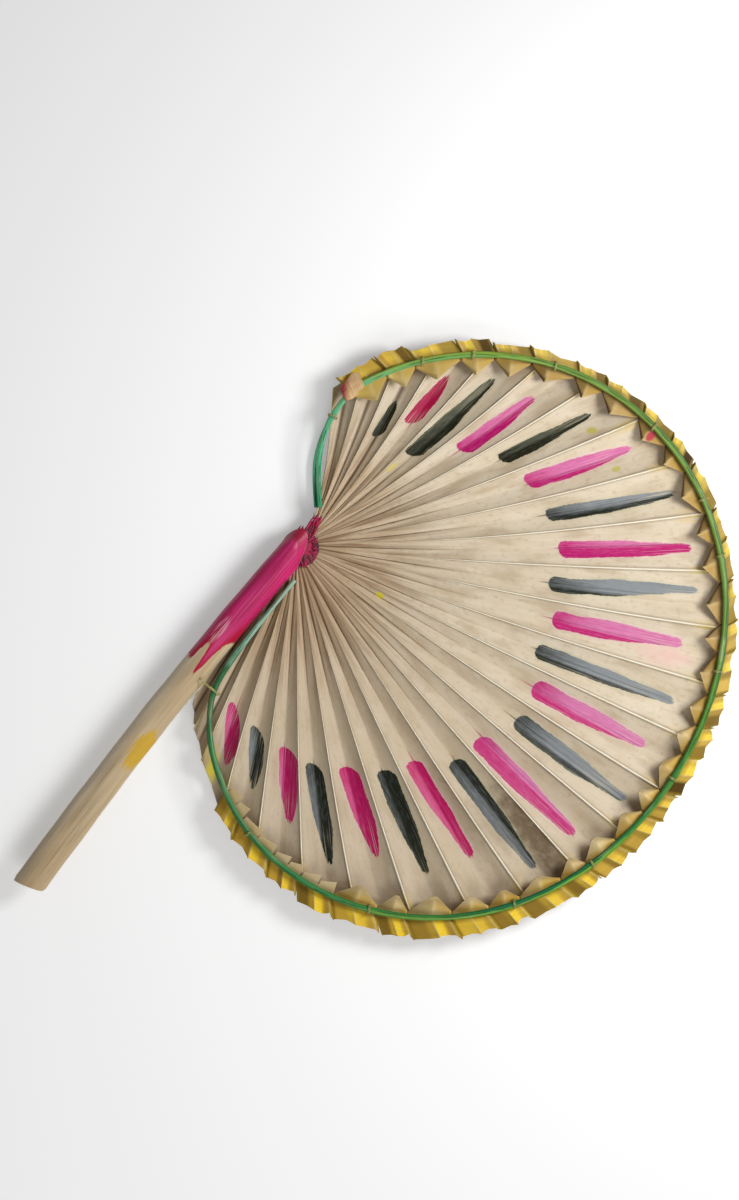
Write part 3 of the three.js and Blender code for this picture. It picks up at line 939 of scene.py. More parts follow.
@dataclass(frozen=True)
class CaneFinish:
    """Split cane of the hoops, dyed green and faded by turns; its pale tails partly stand for painted
    highlights.
    """

    groups: SharedGroups
    slit: Colour = srgb(16, 36, 14)
    dry: Colour = srgb(196, 200, 150)
    shade: Colour = srgb(150, 160, 140)
    # Colours along the course for the inner and outer edge; the paler stops on both tails are partly
    # painted highlight.
    stops: tuple[tuple[float, Colour, Colour], ...] = (
        (0.0, srgb(30, 146, 96), srgb(66, 176, 124)),
        (0.035, srgb(60, 172, 120), srgb(104, 198, 150)),
        (0.07, srgb(98, 186, 142), srgb(116, 198, 140)),
        (0.11, srgb(112, 178, 104), srgb(148, 194, 90)),
        (0.16, srgb(118, 172, 70), srgb(156, 190, 66)),
        (0.2, srgb(136, 176, 76), srgb(112, 152, 62)),
        (0.3, srgb(134, 170, 72), srgb(66, 114, 40)),
        (0.38, srgb(126, 166, 70), srgb(58, 108, 38)),
        (0.47, srgb(84, 142, 50), srgb(50, 110, 34)),
        (0.54, srgb(40, 122, 58), srgb(84, 150, 44)),
        (0.6, srgb(18, 114, 70), srgb(114, 176, 46)),
        (0.65, srgb(18, 116, 66), srgb(92, 160, 46)),
        (0.7, srgb(58, 140, 58), srgb(112, 168, 52)),
        (0.76, srgb(52, 138, 70), srgb(48, 124, 56)),
        (0.86, srgb(76, 146, 86), srgb(50, 122, 62)),
        (0.925, srgb(44, 110, 64), srgb(40, 104, 58)),
        (0.955, srgb(154, 200, 174), srgb(138, 188, 162)),
        (1.0, srgb(180, 210, 190), srgb(166, 200, 180)))

    def material(self) -> bpy.types.Material:
        """Builds the material of both hoops.

        Returns:
            The material.
        """
        material, bench = new_material("green_cane")
        across, along = bench.read("across"), bench.read("along")
        grain = bench.group(self.groups.fibre, Across=across * 1.3, Along=along, Seed=2.0)
        streak, mottle = grain["Streak"], grain["Mottle"]
        shifted = bench.read("course") + (mottle - 0.5) * 0.03
        place = across - (bench.cloud(2, along * 0.03, 3.7) - 0.5) * 2.6
        inner = bench.ramp(shifted, tuple((share, colour) for share, colour, _ in self.stops))
        outer = bench.ramp(shifted, tuple((share, colour) for share, _, colour in self.stops))
        colour = bench.blend(place.span(-0.2, 0.2), inner, outer)
        slit = abs(place).span(0.24, 0.06) * bench.cloud(2, along * 0.06, 8.1).span(0.44, 0.56)
        colour = bench.coat(
            colour,
            (streak * 0.45, bench.blend(1.0, colour, self.shade, "MULTIPLY")),
            (mottle.span(0.55, 1.0) * streak.span(0.35, 0.0) * 0.5, self.dry),
            (slit * 0.85, self.slit),
            (grain["Speck"] * 0.7, self.slit))
        bench.surface(colour, 0.34 + streak * 0.18, grain["Relief"] - slit, 0.22)
        return material


@dataclass(frozen=True)
class ThreadFinish:
    """Pale twisted thread of the stitches and ties."""

    groups: SharedGroups
    light: Colour = srgb(214, 208, 136)
    dark: Colour = srgb(136, 138, 74)
    stain: Colour = srgb(150, 190, 120)

    def material(self) -> bpy.types.Material:
        """Builds the material of the thread.

        Returns:
            The material.
        """
        material, bench = new_material("straw_thread")
        along, turn = bench.read("along"), bench.read("turn")
        ply = bench.math("SINE", along * 5.2 + turn * 2.0).span(-0.9, 0.6)
        fray = bench.cloud(3, along * 0.7, turn, 1.3)
        colour = bench.coat(self.dark, (ply, self.light), (fray.span(0.5, 0.75, 0.0, 0.5), self.stain))
        bench.surface(colour, 0.5 + fray * 0.25, ply, 0.12)
        return material


@dataclass(frozen=True)
class StalkFinish:
    """Shaved palm stalk: pink paint on the hub's half, a yellow blot and bare wood beyond."""

    groups: SharedGroups
    pink: Colour = srgb(216, 40, 118)
    pink_light: Colour = srgb(226, 92, 150)
    pink_deep: Colour = srgb(164, 14, 72)
    wood: Colour = srgb(206, 184, 148)
    wood_dark: Colour = srgb(180, 152, 112)
    # Colour of the painted fill light on one flank.
    painted_flank_light: Colour = srgb(226, 208, 180)
    scuff: Colour = srgb(236, 196, 200)
    split: Colour = srgb(112, 80, 50)
    blot: Colour = srgb(212, 168, 20)
    drip_red: Colour = srgb(178, 6, 54)
    # Colour of the painted shade on the end facet.
    end_facet_shade: Colour = srgb(164, 22, 62)
    drip_span: float = 100.0
    drips: tuple[tuple[float, float], ...] = (
        (0.0, 0.66), (1.0, 0.83), (0.17, 0.68), (0.27, 0.74), (0.34, 0.84), (0.38, 0.885), (0.46, 0.885),
        (0.51, 0.81), (0.57, 0.745), (0.66, 0.735), (0.73, 0.77), (0.78, 0.835), (0.88, 0.845))
    dry_place: Limits = (65.0, 2.4)
    dry_reach: Limits = (10.0, 2.8)
    blot_place: Limits = (136.0, -4.4)
    blot_reach: Limits = (11.5, 4.6)

    def material(self) -> bpy.types.Material:
        """Builds the material of the stalk.

        Returns:
            The material.
        """
        material, bench = new_material("painted_stalk")
        across, along, height = map(bench.read, ("across", "along", "height"))
        grain = bench.group(self.groups.fibre, Across=across, Along=along, Seed=5.0)
        wide = bench.cloud(3, across * 0.5, along * 0.02, 4.4)
        cracks = bench.cloud(2, across * 2.4, along * 0.016, 9.7)
        bristle = bench.cloud(3, across * 2.0, along * 0.03, 6.2)
        edges = bench.cloud(3, across * 3.0, along * 0.12, 1.9)
        hairs = bench.cloud(3, across * 3.2, along * 0.07, 2.6)
        crack = cracks.span(0.67, 0.73) * along.span(110.0, 215.0, 0.1, 0.9)
        place = bench.math("ADD", across / 16.0, 0.5, clamp=True)
        reach = bench.curve(place, self.drips) * self.drip_span
        ahead = reach + (bristle - 0.5) * 5.0 + (edges - 0.5) * 6.0 - along
        painted = ahead.span(-0.5, 0.6) * height.span(-1.0, 2.0)
        dry = bench.oval(along, across, self.dry_place, self.dry_reach)
        hue = bench.coat(
            self.pink_deep,
            (bristle.span(0.3, 0.7), self.pink),
            (abs(across - 0.5).span(4.5, 1.0) * 0.35 * wide.span(0.3, 0.7), self.pink_light),
            # Painted shade on the slanted facet at the hub's end.
            (along.span(9.0, 6.0) * across.span(-4.0, 1.0), self.end_facet_shade),
            ((ahead + wide * 14.0).span(24.0, 10.0), self.drip_red),
            (hairs.span(0.48, 0.6) * dry.span(1.0, 0.3) * 0.75, self.scuff))
        away = bench.oval(along, across, self.blot_place, self.blot_reach)
        away = away + (bristle - 0.5) * 3.0 + (edges - 0.5) * 1.8
        colour = bench.coat(
            self.wood,
            (wide.span(0.35, 0.75, 0.0, 0.7), self.wood_dark),
            (grain["Streak"] * 0.22, self.wood_dark),
            # Painted fill light on the flank that the key lamp leaves in shade.
            (across.span(1.0, 6.0, 0.0, 0.8), self.painted_flank_light),
            (along.span(150.0, 235.0, 0.0, 0.5), self.wood_dark),
            (crack * 0.8, self.split),
            (painted, hue),
            (away.span(1.1, 0.85) * height.span(0.5, 1.5) * 0.9, self.blot),
            (grain["Speck"] * 0.75, self.split))
        roughness = 0.5 + grain["Streak"] * 0.12 - painted * 0.16
        bench.surface(colour, roughness, grain["Relief"] + painted * 0.3 - crack, 0.16)
        return material


@dataclass(frozen=True)
class KnuckleFinish:
    """Fibrous knuckle, splashed with the stalk's pink."""

    groups: SharedGroups
    brown: Colour = srgb(76, 14, 38)
    straw: Colour = srgb(146, 60, 76)
    pink: Colour = srgb(182, 22, 78)

    def material(self) -> bpy.types.Material:
        """Builds the material of the knuckle and its fibres.

        Returns:
            The material.
        """
        material, bench = new_material("knuckle_fibre")
        place = bench.add("ShaderNodeTexCoord").outputs["Object"]
        cloud, fine = bench.noise(place, 3, 260.0), bench.noise(place, 3, 1500.0)
        colour = bench.coat(
            self.brown, (fine.span(0.35, 0.65), self.straw), (cloud.span(0.4, 0.6) * 0.75, self.pink))
        bench.surface(colour, 0.5 + fine * 0.3, fine, 0.18)
        return material


@dataclass(frozen=True)
class Rim:
    """Outline that the hoops follow: a slightly oval ring, drawn in towards both its ends."""

    radius: float = 136.6
    ovality: float = 7.5
    tilt: float = 7.0
    tuck: float = 5.3
    tuck_ease: float = 1.2
    tuck_span: float = 21.5
    tuck_top: float = 57.0
    tuck_bottom: float = -184.5
    centre: Limits = (0.115 * 136.6, -0.647 * 136.6)
    leaf_overhang: float = 7.0
    frill_past_leaf: float = 1.0
    seam: float = 100.0
    halvings: int = 40
    reach_turns: Row = (-197.0, -140.0, -100.0, -40.0, 15.0, 63.0)
    reaches: Row = (8.4, 9.8, 8.5, 4.5, 4.8, 10.0)

    def frill_reach(self, angle: float) -> float:
        """How far the frill stands out past the hoop in a direction."""
        return float(np.interp(angle, self.reach_turns, self.reaches))

    def distance(self, angle: float | Array) -> float | Array:
        """Distance of the rim from the middle of the blade."""
        oval = self.radius + self.ovality * np.cos(2 * np.radians(angle - self.tilt))
        beyond = np.maximum(np.maximum(angle - self.tuck_top, self.tuck_bottom - angle), 0.0)
        return oval - self.tuck * (beyond / self.tuck_span) ** self.tuck_ease

    def point(self, angle: float | Array, offset: float | Array = 0.0) -> Array:
        """Point at an angle about the middle of the blade and an offset outwards from the rim."""
        return np.array(self.centre) + heading(angle) * (self.distance(angle) + offset)[..., None]

    def crossing(self, angle: float, leaf_edge: bool = False) -> Array:
        """Point where a ray from the hub meets the rim or the leaf's edge beyond it.

        Args:
            angle: Direction of the ray.
            leaf_edge: True for the leaf's edge.

        Returns:
            The point's x and y.
        """
        near, far = 0.0, 4 * self.radius
        ray = heading(angle)
        for _ in range(self.halvings):
            middle = (near + far) / 2
            out = ray * middle - np.array(self.centre)
            turn = bearing(out)
            turn = turn - 360.0 if turn > self.seam else turn
            hidden = min(self.leaf_overhang, self.frill_reach(turn) - self.frill_past_leaf)
            if np.hypot(*out) < self.distance(turn) + (hidden if leaf_edge else 0.0):
                near = middle
            else:
                far = middle
        return ray * near


@dataclass(frozen=True)
class Levels:
    """Heights of the layers above the table."""

    back_hoop_top: float = 3.5
    valley: float = 3.8
    frill: float = 10.1
    front_hoop: float = 13.1
    stalk: float = 10.1
    loop_top: float = 16.15


@dataclass
class LeafBlade:
    """The pleated leaf: segments side by side, each a V between two ridges."""

    rim: Rim
    levels: Levels
    groups: SharedGroups
    thickness: float = 0.5
    edge_segments: tuple[int, int, int] = (2, 22, 3)
    top_edge: float = 27.5
    main_start: float = 12.4
    main_end: float = -165.6
    main_sway: float = 1.6
    bottom_edge: float = -181.0
    base_radius: float = 9.4
    base_top: float = 4.0
    base_bottom: float = -170.0
    base_crowd: float = 0.7
    bow: float = 2.0
    base_pleat: float = 2.4
    rim_pleat: float = 5.0
    steep_segments: Row = (0.0, 5.0, 9.0, 15.0, 18.0, 26.0)
    steepest: Row = (0.32, 0.29, 0.29, 0.3, 0.48, 0.52)
    base_lift: float = 1.0
    lip_width: float = 0.5
    lip_height: float = 0.55
    lip_most: float = 0.3
    frayed: float = 0.4
    torn: float = 6.0
    torn_segments: Limits = (22.0, 25.0)
    tear_knots: int = 5
    tear_range: Limits = (-1.0, 0.2)
    least_pleat: float = 0.4
    uneven: float = 0.5
    ripples: Waves = ((0.22, 9.0, 1.7, 0.0),)
    wavers: Waves = ((0.35, 5.3, 2.1, 0.0),)
    crease_round: float = 0.06
    curl: float = 0.45
    curl_power: float = 1.9
    base_power: float = -0.15
    row_power: float = 1.08
    tight_folds: tuple[int, int] = (3, 3)
    # Mixing towards the grime colour by segment: more on the top and the bottom segments than on the right
    # ones.
    darkening_segments: Row = (0.0, 6.0, 12.0, 16.0, 22.0, 26.0)
    ages: Row = (0.25, 0.12, 0.14, 0.5, 0.45, 0.25)
    rows: int = 84
    smooth: float = 50.0
    crowd_span: Limits = (0.1, 0.9)
    swerve_power: int = 3
    level_span: Limits = (0.0, 0.5)
    climb_span: Limits = (0.05, 0.5)
    lip_span: Limits = (0.04, 0.35)
    tear_span: Limits = (0.9, 1.0)
    strokes: dict[int, Stroke] = field(default_factory=dict)
    spots: dict[int, list[Spot]] = field(default_factory=dict)
    wing_knots: Row = (0.0, 0.04, 0.1, 0.2, 0.34, 0.5, 0.66, 0.8, 0.91, 1.0)
    lip_knots: Row = (0.4, 0.75, 1.0)
    lip_rise: Row = (0.75, 1.0, 0.92)

    @property
    def count(self) -> int:
        """Number of segments."""
        return sum(self.edge_segments)

    def fold_angle(self, fold: float) -> float:
        """Direction in which a fold leaves the hub.

        Args:
            fold: Number of the fold; whole numbers are ridges and halves are creases.

        Returns:
            The direction.
        """
        top, main, bottom = self.edge_segments
        if fold <= top:
            return lerp(self.top_edge, self.main_start, fold / top)
        share = (fold - top) / main
        if share <= 1.0:
            sway = self.main_sway * math.sin(2 * math.pi * share)
            return lerp(self.main_start, self.main_end, share) - sway
        return lerp(self.main_end, self.bottom_edge, (fold - top - main) / bottom)

    def fold_line(self, fold: float, shares: Array) -> Array:
        """Course of a fold from the knuckle to the leaf's edge.

        Args:
            fold: Number of the fold.
            shares: Shares of the way.

        Returns:
            One row of x and y per share.
        """
        share = fold / self.count
        crowd = lerp(share, smoothstep(share, *self.crowd_span), self.base_crowd)
        base = heading(lerp(self.base_top, self.base_bottom, share)) * self.base_radius
        crowded = heading(lerp(self.base_top, self.base_bottom, crowd)) * self.base_radius
        run = self.rim.crossing(self.fold_angle(fold), leaf_edge=True) - base
        side = np.array([run[1], -run[0]]) / np.hypot(*run)
        bow = self.bow * 4 * shares * (1 - shares) + waves(self.wavers, shares, fold) * shares
        swerve = (crowded - base) * ((1 - shares) ** self.swerve_power)[:, None]
        return base + run * shares[:, None] + side * bow[:, None] + swerve

    def segment(self, index: int) -> Piece:
        """Folds one segment.

        Args:
            index: Number of the segment from the top edge, from 0.

        Returns:
            The finished piece.
        """
        shares = np.linspace(0.0, 1.0, self.rows) ** self.row_power
        lower, upper = self.wing(index, index, shares), self.wing(index, index + 1, shares)
        points, across, fold = (
            np.concatenate([sign * first[:, :0:-1], second], axis=1)
            for sign, first, second in zip((1, -1, -1), lower, upper))
        columns = points.shape[1]
        piece, column, row = Workshop.sheet(f"palm_segment_{index + 1:02d}", columns, self.rows)
        valley = self.fold_line(index + 0.5, shares)
        run = valley[-1] - valley[0]
        length = np.hypot(*run)
        knots = chance(Draw.TEAR + index).uniform(*self.tear_range, self.tear_knots)
        torn = np.interp(np.linspace(0, self.tear_knots - 1, columns), range(self.tear_knots), knots)
        torn = torn * lerp(self.frayed, self.torn, smoothstep(index, *self.torn_segments))
        torn = smoothstep(shares, *self.tear_span)[:, None] * torn
        points[:, :, :2] += run / length * torn[..., None]
        Workshop.place(piece, points[row, column])
        Workshop.mark(
            piece, rest=((1 - shares) * length)[row], across=across[row, column],
            along=np.hypot(*valley.T)[row], fold=fold[row, column])
        Workshop.thicken(piece, self.thickness)
        Workshop.close(piece, self.smooth)
        return piece

    def wing(self, index: int, ridge: int, shares: Array) -> tuple[Array, Array, Array]:
        """Folds one wing of a segment, from its crease up to a ridge with a pinched lip.

        Args:
            index: Number of the segment from the top edge, from 0.
            ridge: Number of the ridge.
            shares: Shares of the way from the knuckle, one per row.

        Returns:
            Places, distances from the crease and shares from crease to ridge, by row and column.
        """
        valley, edge = self.fold_line(index + 0.5, shares), self.fold_line(ridge, shares)
        half = np.hypot(*(edge - valley).T)[:, None]
        shares = shares[:, None]
        steepest = float(np.interp(index, self.steep_segments, self.steepest))
        low = self.levels.valley + self.thickness
        low = low + self.base_lift * (1 - smoothstep(shares, *self.level_span))
        depth = lerp(self.base_pleat, self.rim_pleat, np.sqrt(shares))
        eased = np.minimum(depth, steepest * half + self.least_pleat)
        uneven = self.uneven * chance(Draw.RIDGE + ridge).uniform(-1, 1)
        lift = (uneven + waves(self.ripples, shares, ridge)) * shares
        lip = np.minimum(self.lip_most, self.lip_width / half)
        knots = np.hstack([np.array(self.wing_knots) * (1 - lip), 1 - lip + lip * np.array(self.lip_knots)])
        proud = np.array((0.0,) * len(self.wing_knots) + self.lip_rise)
        soft = np.hypot(knots, self.crease_round) - self.crease_round
        soft = soft / (math.hypot(1.0, self.crease_round) - self.crease_round)
        pleated = lerp(soft, soft**self.curl_power, self.curl)
        climb = lerp(soft ** (steepest + self.base_power), pleated, smoothstep(shares, *self.climb_span))
        rise = self.lip_height * smoothstep(shares, *self.lip_span) * proud
        height = low + depth - eased + (eased + lift) * climb + rise
        flat = lerp(valley[:, None], edge[:, None], knots[..., None])
        return np.dstack([flat, height]), knots * half, knots

    def build(self) -> None:
        """Builds and dresses every segment."""
        for index in range(self.count):
            piece = self.segment(index)
            number = index + 1
            # Segments at both edges of the blade take the deeper painted crease shade.
            open_folds = range(self.tight_folds[0], self.count - self.tight_folds[1])
            finish = LeafFinish(
                number, self.strokes.get(number), tuple(self.spots.get(number, ())), self.groups,
                crease=CreaseShade.OPEN if index in open_folds else CreaseShade.TIGHT,
                age=float(np.interp(index, self.darkening_segments, self.ages)))
            Workshop.hand_over(piece, finish.material(), Slot.LEAF, f"leaf_segment_{number:02d}")


def painted_strokes() -> dict[int, Stroke]:
    """The dashes of the painted ring by segment number, the two paints by turns.

    Returns:
        One stroke for each of the painted segments.
    """
    # Start, end, thinness with its painted sheen, width and the middle's distance from the crease at both
    # ends.
    spans = (
        (67.8, 87.8, 0.1, 7.0, 0.0, 0.0),
        (83.9, 113.8, 0.05, 9.2, -0.7, 0.3),
        (72.8, 129.5, 0.3, 9.6, -0.8, -1.0),
        (93.9, 139.9, 0.55, 9.5, 0.6, -0.9),
        (109.7, 160.6, 0.3, 7.4, 0.0, -0.5),
        (118.3, 174.6, 0.7, 9.2, -1.0, -1.8),
        (124.5, 189.6, 0.9, 7.6, 0.4, 1.0),
        (129.5, 196.0, 0.6, 8.8, 0.8, 2.4),
        (125.9, 201.2, 1.0, 8.0, 0.7, -3.8),
        (131.4, 197.9, 0.75, 9.3, 0.0, -2.6),
        (128.7, 202.7, 1.0, 7.8, 0.6, -0.2),
        (135.9, 199.5, 0.85, 9.8, 0.0, -1.6),
        (138.3, 207.0, 1.0, 9.6, 0.0, 0.5),
        (131.0, 199.4, 0.85, 10.0, 2.6, 3.0),
        (131.7, 199.6, 0.42, 9.2, 0.5, 1.7),
        (121.0, 177.3, 0.3, 8.7, 1.0, -0.9),
        (118.9, 174.6, 0.08, 9.8, -0.9, -1.5),
        (112.3, 158.0, 0.4, 11.0, -0.5, -4.4),
        (108.7, 158.8, 0.5, 10.4, 0.2, -3.0),
        (99.7, 135.1, 0.7, 12.5, -2.6, -4.8),
        (93.3, 120.4, 0.8, 11.5, -0.3, -3.6),
        (86.7, 110.8, 0.6, 16.5, 0.0, -5.0))
    dry_at = (0, 1, 3, 16, 19)
    drier_by = (0.6, 0.58, 0.0, 0.0, 0.4)
    first_segment = 3
    last_upper = 13
    first_sheen = 5
    strokes = {}
    for number, (start, end, thin_and_sheen, width, first, last) in enumerate(spans):
        dice = chance(Draw.STROKE + number)
        # The black paint's lighter colour is a painted sheen of the sky, left out on the first strokes.
        mixes = (
            Paint.INK if number < first_sheen else Paint.BLACK,
            Paint.CRIMSON if number == 1 else Paint.ROSE if number > last_upper else Paint.MAGENTA)
        strokes[first_segment + number] = Stroke(
            start=start,
            end=end,
            paint=mixes[number % 2],
            thin_and_sheen=thin_and_sheen,
            lit_side=-1.0 if number <= last_upper else 1.0,
            dry=float(0.25 + 0.5 * thin_and_sheen + np.interp(number, dry_at, drier_by)),
            width=width,
            first=first,
            last=last,
            tip=float(dice.uniform(2.8, 4.4)),
            creep=float(dice.uniform(2.0, 14.0)))
    return strokes


def leaf_spots() -> dict[int, list[Spot]]:
    """Stray paint and stains by segment number.

    Returns:
        The spots of each segment that has any.
    """
    lime = srgb(206, 190, 40)
    grime = srgb(132, 108, 84)
    blush = srgb(224, 178, 172)
    return {
        5: [Spot(63.0, -3.0, 4.0, 1.4, lime, 0.6)],
        7: [Spot(154.0, 8.0, 3.2, 2.2, srgb(190, 182, 80), 0.9)],
        8: [Spot(161.0, 6.5, 2.6, 1.8, srgb(190, 182, 80), 0.8)],
        12: [Spot(190.0, 5.0, 14.0, 6.0, blush, 0.6)],
        14: [Spot(46.6, -0.7, 2.4, 1.6, lime, 0.95)],
        17: [Spot(184.0, -8.5, 32.0, 9.0, srgb(112, 92, 66), 0.9), Spot(170.0, 7.0, 20.0, 4.0, grime, 0.4)],
        18: [Spot(150.0, -7.0, 30.0, 5.0, grime, 0.4)],
        24: [Spot(122.0, 4.0, 10.0, 6.0, lime, 0.85)],
        25: [Spot(120.0, -3.0, 9.0, 6.0, lime, 0.8)],
    }


@dataclass
class Frill:
    """Pleated strip under the front hoop: tents inside it, stepped flaps outside it."""

    rim: Rim
    levels: Levels
    finish: FrillFinish
    strip_pleats: tuple[int, ...] = (10, 9, 9, 5)
    start: float = 63.0
    end: float = -197.0
    thickness: float = 0.5
    hoop_half: float = 1.7
    tooth: float = 1.7
    pressed: float = 1.7
    outer_rise: float = 2.9
    tent_reach: float = 9.6
    tent_rises: Row = (4.5, 4.2, 2.3, 2.3, 3.8)
    trough_reach: float = 2.3
    fold_slant: float = 0.5
    wobble: float = 0.12
    wobble_turn: float = 2.4
    before_peak: Row = (0.0, 0.05, 0.14, 0.26, 0.4, 0.6, 0.8, 0.94)
    after_peak: Row = (0.0, 0.06, 0.2, 0.4, 0.6, 0.8, 0.95)
    inner_rows: Row = (0.0, 0.05, 0.15, 0.32, 0.5, 0.7, 0.86, 1.0)
    hoop_rows: Row = (0.33, 0.67, 1.0)
    outer_rows: Row = (0.15, 0.32, 0.5, 0.68, 0.84, 0.94, 1.0)
    fold_columns: tuple[int, ...] = (0, 2, 5, 8, 11, 15)
    fold_heights: Row = (0.08, 1.0, 0.45, 0.8, 0.3, 0.08)
    fold_reach: Row = (1.0, -0.6, -0.1, 0.5, 0.0, 1.0)
    facet_dye: Row = (1.0, 0.25, 0.75, 0.2, 0.05)
    # Painted shade on the outer flaps' facets, by facet.
    facet_dark: Row = (0.0, 0.3, 0.0, 0.5, 0.8)
    boxed_pleats: int = 29
    boxed_reach: float = 6.8
    boxed_rise: float = 2.2
    boxed_phases: Row = (0.0, 0.025, 0.07, 0.47, 0.5, 0.53, 0.975, 1.0)
    boxed_shape: Row = (0.0, 0.1, 1.0, 0.45, 0.1, 0.95, 0.35, 0.0)
    regions: Row = (-150.0, -80.0, -55.0, 20.0, 63.0)
    peaks: Row = (0.48, 0.47, 0.42, 0.42, 0.52)
    blunted: Row = (1.2, 1.2, 1.03, 1.03, 1.12)
    # Painted shade on the tents' two sides, as a shadow line along their inner edges, and where they pass
    # under the hoop.
    shade_before: Row = (0.1, 0.12, 0.9, 0.9, 0.12)
    shade_after: Row = (0.5, 0.5, 0.12, 0.12, 0.42)
    dark_rims: Row = (0.3, 0.6, 1.0, 1.0, 0.3)
    dark_feet: Row = (0.25, 0.3, 0.6, 0.6, 0.12)
    richness: Row = (1.0, 0.75, 0.35, 0.3, 0.9)
    gilding: Row = (0.0, 0.0, 0.0, 0.2, 1.0)
    tallness: Limits = (0.75, 1.15)
    depths: Limits = (0.86, 1.12)
    lengths: Limits = (-0.9, 0.9)
    peak_spread: float = 0.06
    fold_jitter: float = 0.25
    tooth_jitter: float = 0.6
    dye_jitter: float = 0.35
    even_reach: float = 7.0
    least_press: float = 0.4
    inner_lift: float = 0.1
    outer_lift: float = 0.2
    outer_power: float = 0.7
    # Painted highlights on the tents' inner rims and crests.
    lit_rim: float = 0.5
    lit_crest: float = 0.8
    torn_share: float = 0.5
    whole_odds: float = 0.6
    # Painted shade in the troughs and on the sides of flat pleats, its spread from pleat to pleat, and its
    # fading towards a crest.
    trough_dark: float = 0.95
    boxed_dark: Limits = (0.55, 0.05)
    shade_range: Limits = (0.4, 1.3)
    top_dark: float = 0.65
    flap_mesh: tuple[int, int] = (13, 25)
    flap_clear: float = 2.6
    flap_lobes: tuple[tuple[float, float], ...] = ((0.45, -0.3), (0.3, 0.4))
    flap_power: float = 1.6
    flap_ripples: Waves = ((0.35, 3.0, 0.5, 0.0),)
    flap_flat: float = 2.2
    smooth: float = 22.0
    # Rows over which the painted shadow line and the painted shade under the hoop fade.
    rim_span: Limits = (0.2, 0.45)
    foot_span: Limits = (0.5, 1.0)
    flap_smooth: float = 50.0
    flap_angle: float = 62.2
    flap_length: float = 12.0
    flap_inner: float = 3.6
    flap_outer: float = 7.4
    flap_drop: float = 1.2

    @property
    def pleats(self) -> int:
        """Number of pleats in all strips."""
        return sum(self.strip_pleats)

    def trough_angle(self, pleat: int) -> float:
        """Direction of the trough before a pleat, set slightly unevenly as by hand."""
        sway = self.wobble * math.sin(self.wobble_turn * pleat)
        return lerp(self.start, self.end, (pleat + sway) / self.pleats)

    def strip(self, number: int, first: int, count: int) -> Piece:
        """Folds one strip.

        Args:
            number: Number of the strip.
            first: First pleat of the strip among all pleats.
            count: Pleats in the strip.

        Returns:
            The finished piece.
        """
        rows = len(self.inner_rows) + len(self.hoop_rows) + len(self.outer_rows)
        per_pleat = len(self.before_peak) + len(self.after_peak)
        columns = count * per_pleat + 1
        piece, column, row = Workshop.sheet(f"frill_pleats_{number}", columns, rows)
        lines = []
        for position in range(columns):
            pleat = min(position // per_pleat, count - 1)
            lines.append(self.line(first + pleat, position - pleat * per_pleat))
        Workshop.place(piece, np.stack([place for place, _ in lines], axis=1)[row, column])
        for name in lines[0][1]:
            values = np.stack([np.broadcast_to(marks[name], rows) for _, marks in lines], axis=1)
            Workshop.mark(piece, **{name: values[row, column]})
        Workshop.thicken(piece, self.thickness)
        Workshop.close(piece, self.smooth)
        return piece

    def line(self, pleat: int, step: int) -> tuple[Array, dict[str, float | Array]]:
        """Folds one line across the strip, from the tent's inner edge to the outer edge.

        Args:
            pleat: Number of the pleat among all pleats.
            step: Number of the line within the pleat.

        Returns:
            Places of the line's vertices and their numbers for the material.
        """
        dice = chance(Draw.PLEAT + pleat)
        tall, deep, long = (dice.uniform(*limits) for limits in (self.tallness, self.depths, self.lengths))
        tone, spread = dice.uniform(0.0, 1.0), dice.uniform(-self.peak_spread, self.peak_spread)
        jitter = dice.uniform(-1.0, 1.0, (4, len(self.fold_columns)))
        jitter[:2, -1] = jitter[:2, 0] = 0.0
        start, end = self.trough_angle(pleat), self.trough_angle(pleat + 1)
        boxed = pleat >= self.boxed_pleats
        peak = 0.5 if boxed else self.by_region(self.peaks, (start + end) / 2) + spread
        phases = [peak * share for share in self.before_peak]
        phases += [lerp(peak, 1.0, share) for share in self.after_peak] + [1.0]
        last = len(phases) - 1
        phase = phases[step]
        angle = lerp(start, end, phase)
        if boxed:
            tent = float(np.interp(phase, self.boxed_phases, self.boxed_shape))
            reach, rise = self.boxed_reach * deep, self.boxed_rise
        else:
            top = self.by_region(self.blunted, angle)
            tent = min(1.0, float(np.interp(phase, (0, peak, 1), (0, top, 0))))
            reach, rise = self.tent_reach * deep, self.by_region(self.tent_rises, angle) * tall
        heights = np.array(self.fold_heights) * (1 + self.fold_jitter * jitter[0])
        fold = float(np.interp(step, self.fold_columns, heights))
        teeth = np.array(self.fold_reach) + self.tooth_jitter * jitter[1]
        tooth = float(np.interp(step, self.fold_columns, teeth))
        full = self.rim.frill_reach(angle)
        inner = -(self.trough_reach + (reach - self.trough_reach) * tent)
        outer = full + (long + self.tooth * tooth) * min(1.0, full / self.even_reach)
        if step in (0, last):
            outer -= full * self.notch(pleat + step // last)
        press = lerp(self.least_press, self.pressed, max(tent, fold))
        edge, end_rise = rise * tent + self.inner_lift, self.outer_lift + self.outer_rise * fold
        heights = (
            [lerp(edge, press, share) for share in self.inner_rows]
            + [press] * len(self.hoop_rows)
            + [lerp(press, end_rise, share**self.outer_power) for share in self.outer_rows])
        radial = np.array(
            [lerp(inner, -self.hoop_half, share) for share in self.inner_rows]
            + [lerp(-self.hoop_half, self.hoop_half, share) for share in self.hoop_rows]
            + [lerp(self.hoop_half, outer, share) for share in self.outer_rows])
        slant = np.degrees(self.fold_slant * np.maximum(radial - self.hoop_half, 0.0) / self.rim.radius)
        flat = self.rim.point(angle + slant, radial)
        place = np.column_stack([flat, self.levels.frill + self.thickness + np.array(heights)])
        facet = int(np.searchsorted(self.fold_columns, step, side="right")) - 1
